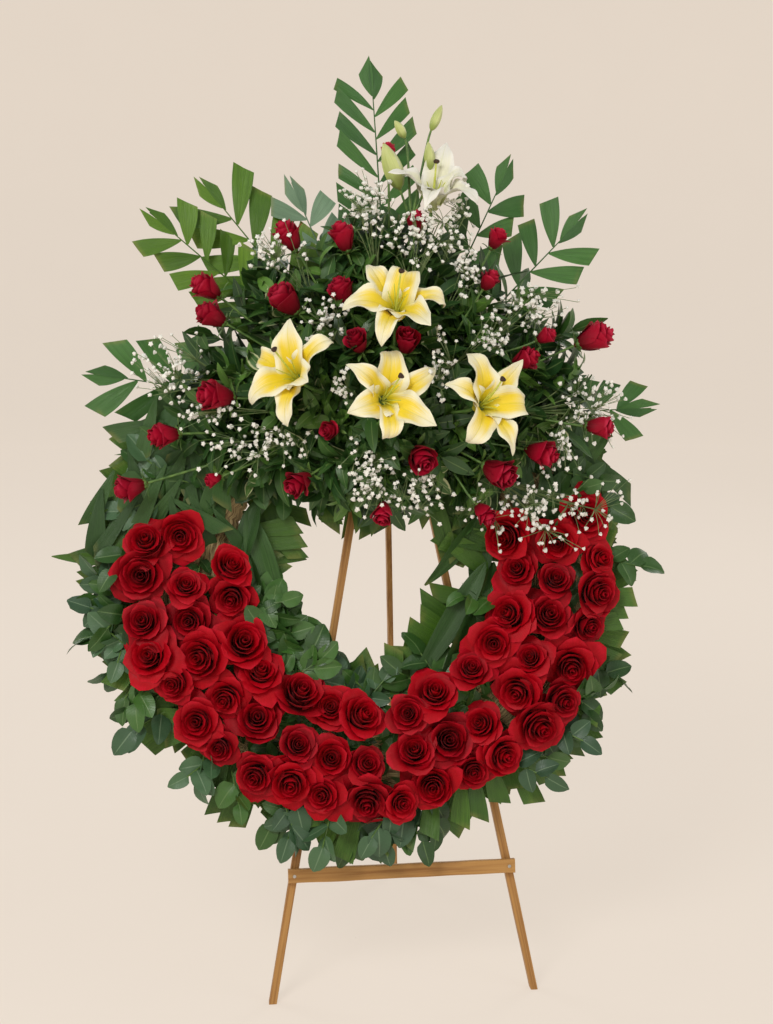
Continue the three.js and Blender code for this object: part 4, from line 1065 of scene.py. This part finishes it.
def build_straw():
    """The straw ring: a torus whose section is pinched by its string and roughened by the stalks."""
    turns, sides, middle, height = 240, 28, 0.315, 0.0355
    angle = np.linspace(0, 360, turns, endpoint=False)[:, None]
    phi = np.linspace(0, 2 * np.pi, sides, endpoint=False)
    rough = 0.0018 * np.random.default_rng(900).normal(0, 1, (turns, sides))
    rough = sum(np.roll(rough, k, 0) for k in range(4)) / 2
    pinch = 1 - 0.05 * np.cos(np.radians(angle) * 40) ** 8
    wide, deep = sizes().straw_width, sizes().straw_depth
    points = clock(angle, middle + (wide * pinch + rough) * np.cos(phi), height + (deep * pinch + rough) * np.sin(phi))
    grid = np.arange(turns * sides).reshape(turns, sides)
    nxt, up = np.roll(grid, -1, axis=1), np.roll(grid, -1, axis=0)
    quads = np.stack([grid, nxt, np.roll(nxt, -1, axis=0), up], axis=-1).reshape(-1, 4)
    marks = joined(angle / 57.3, phi / 6.283, 0.0)
    put("wrapped_straw", Shape(points.reshape(-1, 3), quads, NO_TRIS, marks.reshape(-1, 3)), finish("straw"),
        ("straw_ring",))
    loops = np.arange(0, 360, 4.5)[:, None]
    phi = np.linspace(0, 2 * np.pi, 20)
    lines = clock(loops + 4.2 * phi / 6.283, middle + (wide - 0.0025) * np.cos(phi),
                  height + (deep - 0.0005) * np.sin(phi))
    put("straw_string", tube(lines, 0.0008, 4), finish("string"))


# ---------------------------------------------------------------- the spray's leaves

SPRAY = {"across": 0.025, "up": 0.300, "left": 0.352, "right": 0.390, "top": 0.312, "bottom": 0.188,
         "back": 0.072, "depth": 0.088}


# Leafy twigs of the spray: finish, how many, leaves on each, their length and width, the shares of the
# dome's reach from and to, how far they sink below the dome, and the solid that they replace.
SPRAY_TWIGS = {
    "dark": ("leaf", 112, 10, 0.072, 0.024, 0.05, 1.0, 0.0, ("spray_greenery",)),
    "under": ("leaf", 90, 9, 0.064, 0.028, 0.05, 0.97, 0.022, ()),
    "bright": ("bright", 84, 11, 0.050, 0.021, 0.15, 1.0, 0.0, ()),
    "variegated": ("variegated", 22, 9, 0.050, 0.022, 0.3, 1.0, 0.0, ()),
}


def dome_point(angle, reach):
    """A point of the spray's dome at a clock angle and at a share of its radius there."""
    s, c = np.sin(angle), np.cos(angle)
    rx = np.where(s > 0, SPRAY["right"], SPRAY["left"])
    ry = np.where(c > 0, SPRAY["top"], SPRAY["bottom"])
    power = np.where(c > 0, 1.45, 2.0)
    radius = reach / (np.abs(s / rx) ** power + np.abs(c / ry) ** power) ** (1 / power)
    rise = SPRAY["depth"] * np.sqrt(np.maximum(0, 1 - reach ** 2.2))
    return np.stack([SPRAY["across"] + radius * s, SPRAY["up"] + radius * c, SPRAY["back"] + rise], axis=-1)


def twig_leaves(roots, tips, each, long, wide, rng):
    """Leaves set round straight twigs at the golden angle, closer to the twig's line at its end."""
    n, m = len(roots), len(roots) * each
    way = unit(tips - roots)
    share = np.linspace(0.25, 1.0, each)[:, None]
    away = around(frames_along(way, rng.uniform(0, 6, n)), np.arange(each) * GOLDEN)
    direction = away + way[:, None] * (0.5 + 0.8 * share ** 2) + rng.normal(0, 0.12, (n, each, 3))
    facing = way[:, None] - 0.5 * away + 0.8 * FACING
    tone = twig_tones(n, each, 0.12, rng)
    return blades(roots[:, None] + (tips - roots)[:, None] * share, direction, facing,
                  long * rng.uniform(0.72, 1.12, m), wide * rng.uniform(0.85, 1.2, m), lance,
                  rng.normal(0.5, 0.25, m), 0.25, 0.0, 0.03, tone)


def dome_twigs(count, low, high, rng):
    """Twigs from near the focus to the dome's surface, in even spread between two shares of its reach."""
    angle = (np.arange(count) * GOLDEN + rng.normal(0, 0.15, count)) % (2 * np.pi)
    reach = np.sqrt(rng.uniform(low ** 2, high ** 2, count))
    tips = dome_point(angle, reach) + rng.normal(0, 0.007, (count, 3))
    roots = FOCUS + (tips - FOCUS) * rng.uniform(0.35, 0.55, count)[:, None] - 0.008 * FACING
    return roots, tips


def build_spray_leaves():
    """Twigs that radiate from the focus, each with its leaves, and long leaves between them."""
    rng = np.random.default_rng(1100)
    lines = []
    for name, (kind, count, each, long, wide, low, high, sink, replaced) in SPRAY_TWIGS.items():
        roots, tips = dome_twigs(count, low, high, rng)
        tips = tips - sink * FACING
        put(f"spray_leaves_{name}", twig_leaves(roots, tips, each, long, wide, rng), finish(kind), replaced)
        lines.append(roots[:, None] + (tips - roots)[:, None] * shares(6))
    n = 100
    roots, tips = dome_twigs(n, 0.25, 1.02, rng)
    way = unit(tips - roots)
    facing = FACING + rng.normal(0, 0.5, (n, 3))
    length = rng.uniform(0.10, 0.17, n)
    tall = blades(tips - way * (length * 0.75)[:, None], way + rng.normal(0, 0.16, (n, 3)), facing, length,
                  rng.uniform(0.016, 0.030, n), lance, rng.normal(0.5, 0.3, n), 0.3, 0.0, 0.03,
                  rng.uniform(0, 0.8, n), 14, 7)
    put("spray_long_leaves", tall, finish("leaf"))
    put("spray_twigs", tube(np.concatenate(lines), 0.0013), finish("stem"))


# ---------------------------------------------------------------- finishes

FINISHES = {
    # Both kinds of rose take rose_shade for the painted shade at each petal's foot, and also for their darker petals
    # and veins.
    "rose": lambda c: petal_material("rose_petal", c.rose_shade, c.rose, c.rose_rim),
    "pink_rose": lambda c: petal_material("spray_rose_petal", c.rose_shade, c.spray_rose, c.spray_rose_rim),
    "leaf": lambda c: leaf_material("glossy_leaf", c.leaf_shade, c.leaf, (0.20, 0.30, 0.10)),
    "bright": lambda c: leaf_material("bright_leaf", (0.03, 0.09, 0.015), c.young_leaf, (0.25, 0.36, 0.12)),
    "variegated": lambda c: leaf_material("variegated_leaf", (0.03, 0.10, 0.02), (0.10, 0.22, 0.05),
                                          (0.4, 0.45, 0.2), variegated=0.9),
    "round": lambda c: leaf_material("round_leaf", (0.012, 0.048, 0.010), c.round_leaf, (0.15, 0.25, 0.09), 0.34, 10.0),
    # Blue-green leaves: their own dark green, with a painted bluish sheen in the colour.
    "blue": lambda c: leaf_material("blue_green_leaf", (0.020, 0.064, 0.028), c.blue_leaf, (0.18, 0.28, 0.16), 0.38,
                                    10.0),
    "palm": lambda c: palm_material("palm_leaflet", (0.022, 0.095, 0.014), c.palm),
    "pale_palm": lambda c: palm_material("silver_palm_leaflet", (0.10, 0.20, 0.11), c.silver_palm),
    "yellow_palm": lambda c: palm_material("yellow_palm_leaflet", (0.030, 0.105, 0.004), c.yellow_palm),
    "rim_palm": lambda c: palm_material("rim_palm_leaflet", (0.018, 0.070, 0.006), c.rim_palm),
    "dark_palm": lambda c: palm_material("dark_palm_leaflet", (0.014, 0.055, 0.010), (0.050, 0.135, 0.024)),
    "lily": lambda c: lily_material("yellow_lily", c.lily_throat, c.lily, c.lily_edge),
    "white_lily": lambda c: lily_material("white_lily", (0.62, 0.66, 0.30), (0.83, 0.82, 0.62), (0.88, 0.87, 0.80)),
    "bud": lambda c: lily_material("lily_bud", (0.28, 0.36, 0.08), (0.42, 0.50, 0.13), (0.55, 0.60, 0.24)),
    "straw": lambda c: straw_material("wrapped_straw"),
    "pine": lambda c: pine_material("planed_pine"),
    "upright_pine": lambda c: pine_material("upright_pine", upright=True),
}
# The plain finishes: name, low and high colour, scale of the mottle, roughness, bump and metal.
PLAIN_FINISHES = {
    "filament": ("lily_filament", (0.50, 0.55, 0.06), (0.62, 0.66, 0.14), 200.0, 0.5),
    "twig": ("pale_twig", (0.07, 0.13, 0.035), (0.19, 0.25, 0.10), 90.0, 0.5),
    "stem": ("green_stem", (0.05, 0.12, 0.02), (0.13, 0.24, 0.05), 90.0, 0.45),
    "anther": ("anther", (0.020, 0.010, 0.006), (0.07, 0.032, 0.015), 300.0, 0.7),
    "floret": ("gypsophila_floret", (0.76, 0.76, 0.68), (0.90, 0.90, 0.86), 400.0, 0.7),
    "string": ("straw_string", (0.20, 0.15, 0.07), (0.35, 0.28, 0.14), 500.0, 0.7),
    "steel": ("zinc_steel", (0.42, 0.42, 0.41), (0.60, 0.60, 0.58), 160.0, 0.34, 0.15, 1.0),
    "foam": ("flower_foam", (0.02, 0.09, 0.035), (0.05, 0.16, 0.06), 900.0, 0.95, 0.8),
    "tray": ("foam_tray", (0.015, 0.06, 0.03), (0.025, 0.09, 0.045), 50.0, 0.35),
}
MADE = {}


def finish(key):
    """The material of that key, made the first time it is asked for."""
    if key in PLAIN_FINISHES and key not in MADE:
        MADE[key] = plain_material(*PLAIN_FINISHES[key])
    elif key not in MADE:
        MADE[key] = FINISHES[key](bpy.context.scene.wreath_colours)
    return MADE[key]


def dress(name, key):
    """Gives a CAD node that stays in view its finish."""
    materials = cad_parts[name].data.materials
    materials.clear()
    materials.append(finish(key))


# ---------------------------------------------------------------- settings

def metres(name, description, default):
    """A size in metres."""
    return FloatProperty(name=name, description=description, default=default, min=0.0, unit="LENGTH", precision=4)


def tint(name, description, default):
    """A colour of a surface."""
    return FloatVectorProperty(name=name, description=description, default=default, size=3, min=0.0, max=1.0,
                               subtype="COLOR")


class WreathSizes(bpy.types.PropertyGroup):
    """Sizes of the easel and of the flowers and leaves."""

    foot_spread: metres("Foot spread", "From the easel's middle to the middle of a front foot", 0.232)
    apex_height: metres("Apex height", "Where the front legs' lines meet, up the leaning plane", 1.228)
    leg_top: metres("Leg top", "Where the front legs end, up the leaning plane", 1.212)
    leg_width: metres("Leg width", "Width of a front leg, seen from the front", 0.015)
    leg_depth: metres("Leg depth", "Thickness of a front leg, front to back", 0.018)
    bar_height: metres("Crossbar height", "Middle of the crossbar, up the leaning plane", 0.223)
    bar_width: metres("Crossbar width", "Height of the crossbar's face", 0.026)
    bar_depth: metres("Crossbar thickness", "Thickness of the crossbar", 0.014)
    rose_width: metres("Rose width", "Width of the ring's smallest roses", 0.060)
    rose_range: metres("Rose width range", "How much wider the ring's largest roses are", 0.030)
    rose_petals: IntProperty(name="Rose petals", description="Petals of each rose of the ring", default=22, min=8,
                             max=40)
    bud_petals: IntProperty(name="Bud petals", description="Petals of each rose of the spray", default=17, min=6,
                            max=40)
    lily_scale: FloatProperty(name="Lily scale", description="Size of the open lilies beside that of the frame",
                              default=1.0, min=0.2, max=3.0, subtype="FACTOR")
    floret_width: metres("Floret width", "Mean width of a gypsophila floret", 0.0084)
    frond_leaflet: FloatProperty(name="Frond leaflets", description="Length of the fronds' leaflets beside the usual",
                                 default=1.12, min=0.2, max=3.0, subtype="FACTOR")
    comb_width: metres("Cut palm width", "Width of a leaflet of the cut palm at its end", 0.034)
    round_leaf: metres("Round leaf length", "Length of the round leaves at the rim", 0.052)
    straw_width: metres("Straw half width", "Half the width of the straw ring, in its plane", 0.080)
    straw_depth: metres("Straw half depth", "Half the thickness of the straw ring", 0.0255)


class WreathColours(bpy.types.PropertyGroup):
    """Colours of the petals, the leaves and the studio."""

    rose: tint("Rose", "Petals of the ring's roses", (0.46, 0.0006, 0.008))
    rose_rim: tint("Rose rim", "Rims of their petals", (0.58, 0.006, 0.022))
    # Rose shade is painted shade deep inside every rose, and also the colour of the darker petals and the veins.
    rose_shade: tint("Rose shade", "Deep inside every rose", (0.10, 0.0005, 0.004))
    spray_rose: tint("Spray rose", "Petals of the spray's roses", (0.42, 0.003, 0.026))
    spray_rose_rim: tint("Spray rose rim", "Rims of their petals", (0.62, 0.03, 0.08))
    lily: tint("Lily", "Middle of the open lilies' petals", (0.90, 0.68, 0.02))
    lily_throat: tint("Lily throat", "Foot of the lilies' petals", (0.66, 0.58, 0.015))
    lily_edge: tint("Lily edge", "Edges and tips of the lilies' petals", (0.90, 0.87, 0.64))
    leaf: tint("Leaf", "Lightest of the spray's dark leaves", (0.050, 0.135, 0.024))
    leaf_shade: tint("Leaf shade", "Darkest of the spray's dark leaves", (0.010, 0.040, 0.010))
    young_leaf: tint("Young leaf", "Lightest of the spray's bright leaves", (0.12, 0.26, 0.04))
    round_leaf: tint("Round leaf", "Lightest of the round leaves", (0.055, 0.150, 0.024))
    # Blue leaf: the leaves' own green, with a painted bluish sheen in it.
    blue_leaf: tint("Blue leaf", "Lightest of the blue-green leaves", (0.070, 0.155, 0.066))
    palm: tint("Palm", "Lightest of the frond leaflets", (0.080, 0.225, 0.040))
    yellow_palm: tint("Yellow palm", "Lightest of the yellow-green frond leaflets", (0.150, 0.310, 0.010))
    rim_palm: tint("Cut palm", "Lightest of the cut palm round the rim", (0.090, 0.215, 0.014))
    silver_palm: tint("Silver palm", "Lightest of the silvery leaflets", (0.24, 0.38, 0.24))
    paper: tint("Studio paper", "The paper that the wreath stands on", (0.24, 0.215, 0.19))
    paper_glow: tint("Paper glow", "Light that the paper gives of itself", (1.0, 0.885, 0.765))


def sizes():
    """The sizes in force."""
    return bpy.context.scene.wreath_sizes


# ---------------------------------------------------------------- the easel and the studio

def build_easel():
    """The boards in place of the frame's front legs and crossbar, and finishes for what stays."""
    size = sizes()
    build_front_legs(size)
    ends = [plane_point(side * BAR_REACH, size.bar_height, GAP + size.bar_depth / 2) for side in (-1, 1)]
    put("easel_crossbar", board(*ends, size.bar_depth, size.bar_width, OUT, 8), finish("pine"),
        ("crossbar",), place=None)
    for name in ("crossbar_nail_left", "crossbar_nail_right", "rail_nail_left", "rail_nail_right", "wreath_hook",
                 "bracket_screw_lower", "bracket_screw_upper", "hinge_bolt", "hinge_nut", "hinge_bracket",
                 "hanging_wire"):
        dress(name, "steel")
    for name, key in (("hinge_rail", "upright_pine"), ("rear_leg", "upright_pine"), ("foam_block", "foam"),
                      ("foam_tray", "tray")):
        dress(name, key)


# Lamps: name, place, the height that they aim at, width in metres, watts and colour.
LAMPS = (
    ("key", (-1.5, -2.6, 3.0), 0.9, 1.3, 58, (1.0, 0.985, 0.96)),
    ("fill", (2.6, -2.0, 1.6), 0.8, 1.8, 14, (0.96, 0.98, 1.0)),
    ("back_left", (-2.8, 3.0, 3.4), 0.9, 1.6, 34, (1.0, 1.0, 1.0)),
    ("back_right", (2.8, 3.0, 3.0), 0.9, 1.6, 26, (1.0, 1.0, 1.0)),
)
CAMERA_PLACE = (-0.37393, -2.77913, 1.4)   # from the easel's origin
CAMERA_ANGLES = (79.26, 0, -7)             # in degrees


def build_stage():
    """A round bowl of pale paper, soft lights and the camera.

    The paper is a surface of revolution: a flat floor, a quarter of a circle and a low wall.
    """
    sides = 96
    bend = np.linspace(0, np.pi / 2, 14)
    radius = np.concatenate([[0.001, 2.0, 4.0], 6.5 + 2.0 * np.sin(bend), [8.5, 8.5]])[:, None]
    height = np.concatenate([[0, 0, 0], 2.0 - 2.0 * np.cos(bend), [3.5, 5.5]])[:, None]
    turn = np.linspace(0, 2 * np.pi, sides, endpoint=False)
    grid = joined(radius * np.cos(turn), radius * np.sin(turn), height)
    index = np.arange(len(radius) * sides).reshape(-1, sides)
    nxt = np.roll(index, -1, axis=1)
    faces = np.stack([nxt[:-1], nxt[1:], index[1:], index[:-1]], axis=-1).reshape(-1, 4)
    mesh = bpy.data.meshes.new("studio_sweep")
    mesh.from_pydata(grid.reshape(-1, 3).tolist(), [], [*faces.tolist(), index[0].tolist()])
    mesh.polygons.foreach_set("use_smooth", np.ones(len(faces) + 1, bool))
    colours = bpy.context.scene.wreath_colours
    sheet = plain_material("studio_paper", colours.paper, [c + 0.01 for c in colours.paper], 3.0, 0.9, 0.0)
    glow = sheet.node_tree.nodes["Principled BSDF"].inputs
    glow["Emission Color"].default_value = (*colours.paper_glow, 1)
    glow["Emission Strength"].default_value = 0.60
    mesh.materials.append(sheet)
    paper = bpy.data.objects.new("studio_sweep", mesh)
    bpy.context.scene.collection.objects.link(paper)
    bpy.context.scene.view_settings.view_transform = "Standard"

    world = bpy.data.worlds.new("studio")
    world.use_nodes = True
    background = world.node_tree.nodes["Background"].inputs
    background["Color"].default_value = (1.0, 0.99, 0.97, 1)
    background["Strength"].default_value = 0.34
    bpy.context.scene.world = world
    for name, place, aim, size, power, light in LAMPS:
        data = bpy.data.lights.new(name, "AREA")
        data.size, data.energy, data.color = size, power, light
        lamp = bpy.data.objects.new(name, data)
        lamp.location = place
        lamp.rotation_euler = (Vector((0, 0, aim)) - Vector(place)).to_track_quat("-Z", "Y").to_euler()
        bpy.context.scene.collection.objects.link(lamp)

    data = bpy.data.cameras.new("camera")
    data.lens, data.sensor_width = 60.3, 36
    camera = bpy.data.objects.new("camera", data)
    camera.location = Vector(ORIGIN) + Vector(CAMERA_PLACE)
    camera.rotation_euler = [math.radians(angle) for angle in CAMERA_ANGLES]
    bpy.context.scene.collection.objects.link(camera)
    bpy.context.scene.camera = camera


# ---------------------------------------------------------------- operators

class WREATH_OT_stage(bpy.types.Operator):
    """Builds the paper, the lights and the camera"""

    bl_idname = "wreath.stage"
    bl_label = "Studio"

    def execute(self, context):
        build_stage()
        return {"FINISHED"}


class WREATH_OT_easel(bpy.types.Operator):
    """Builds the front legs and the crossbar and finishes the parts that stay"""

    bl_idname = "wreath.easel"
    bl_label = "Easel"

    def execute(self, context):
        build_easel()
        return {"FINISHED"}


class WREATH_OT_ring_roses(bpy.types.Operator):
    """Builds the roses of the ring, in nine bunches"""

    bl_idname = "wreath.ring_roses"
    bl_label = "Ring roses"

    def execute(self, context):
        build_ring_roses()
        return {"FINISHED"}


class WREATH_OT_spray_roses(bpy.types.Operator):
    """Builds the roses of the spray with their stems"""

    bl_idname = "wreath.spray_roses"
    bl_label = "Spray roses"

    def execute(self, context):
        build_spray_roses()
        return {"FINISHED"}


class WREATH_OT_lilies(bpy.types.Operator):
    """Builds the five open lilies with their filaments and stems"""

    bl_idname = "wreath.lilies"
    bl_label = "Lilies"

    def execute(self, context):
        build_lilies()
        return {"FINISHED"}


class WREATH_OT_lily_buds(bpy.types.Operator):
    """Builds the lily buds above the spray"""

    bl_idname = "wreath.lily_buds"
    bl_label = "Lily buds"

    def execute(self, context):
        build_lily_buds()
        return {"FINISHED"}


class WREATH_OT_gypsophila(bpy.types.Operator):
    """Builds the clouds of small white flowers and their twigs"""

    bl_idname = "wreath.gypsophila"
    bl_label = "Gypsophila"

    def execute(self, context):
        build_gypsophila()
        return {"FINISHED"}


class WREATH_OT_fronds(bpy.types.Operator):
    """Builds the eight fronds behind the spray"""

    bl_idname = "wreath.fronds"
    bl_label = "Palm fronds"

    def execute(self, context):
        build_fronds()
        return {"FINISHED"}


class WREATH_OT_cut_palm(bpy.types.Operator):
    """Builds the cut palm round the rim and in the hole, and the long leaves"""

    bl_idname = "wreath.cut_palm"
    bl_label = "Cut palm"

    def execute(self, context):
        build_palm_leaves()
        return {"FINISHED"}


class WREATH_OT_bed_leaves(bpy.types.Operator):
    """Builds the sprigs of round leaves round the ring"""

    bl_idname = "wreath.bed_leaves"
    bl_label = "Round leaves"

    def execute(self, context):
        build_bed_leaves()
        return {"FINISHED"}


class WREATH_OT_straw(bpy.types.Operator):
    """Builds the straw ring and the string round it"""

    bl_idname = "wreath.straw"
    bl_label = "Straw ring"

    def execute(self, context):
        build_straw()
        return {"FINISHED"}


class WREATH_OT_spray_leaves(bpy.types.Operator):
    """Builds the leafy twigs and the long leaves of the spray"""

    bl_idname = "wreath.spray_leaves"
    bl_label = "Spray leaves"

    def execute(self, context):
        build_spray_leaves()
        return {"FINISHED"}


class WREATH_PT_pieces(bpy.types.Panel):
    """Lists the pieces, in the order in which they are built, and the settings."""

    bl_idname = "WREATH_PT_pieces"
    bl_label = "Flower Wreath"
    bl_space_type = "VIEW_3D"
    bl_region_type = "UI"
    bl_category = "Wreath"

    def draw(self, context):
        for operator in OPERATORS:
            self.layout.operator(operator.bl_idname)
        for settings in (context.scene.wreath_sizes, context.scene.wreath_colours):
            box = self.layout.box()
            for key in settings.__annotations__:
                box.prop(settings, key)


OPERATORS = (
    WREATH_OT_stage,
    WREATH_OT_easel,
    WREATH_OT_ring_roses,
    WREATH_OT_spray_roses,
    WREATH_OT_lilies,
    WREATH_OT_lily_buds,
    WREATH_OT_gypsophila,
    WREATH_OT_fronds,
    WREATH_OT_cut_palm,
    WREATH_OT_bed_leaves,
    WREATH_OT_straw,
    WREATH_OT_spray_leaves,
)
CLASSES = (WreathSizes, WreathColours, *OPERATORS, WREATH_PT_pieces)


def register():
    for cls in CLASSES:
        bpy.utils.register_class(cls)
    bpy.types.Scene.wreath_sizes = PointerProperty(type=WreathSizes)
    bpy.types.Scene.wreath_colours = PointerProperty(type=WreathColours)


def unregister():
    del bpy.types.Scene.wreath_colours
    del bpy.types.Scene.wreath_sizes
    for cls in reversed(CLASSES):
        bpy.utils.unregister_class(cls)


def main():
    """Registers the add-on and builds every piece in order."""
    register()
    bpy.ops.wreath.stage()
    bpy.ops.wreath.easel()
    bpy.ops.wreath.ring_roses()
    bpy.ops.wreath.spray_roses()
    bpy.ops.wreath.lilies()
    bpy.ops.wreath.lily_buds()
    bpy.ops.wreath.gypsophila()
    bpy.ops.wreath.fronds()
    bpy.ops.wreath.cut_palm()
    bpy.ops.wreath.bed_leaves()
    bpy.ops.wreath.straw()
    bpy.ops.wreath.spray_leaves()


if __name__ == "__main__":
    main()
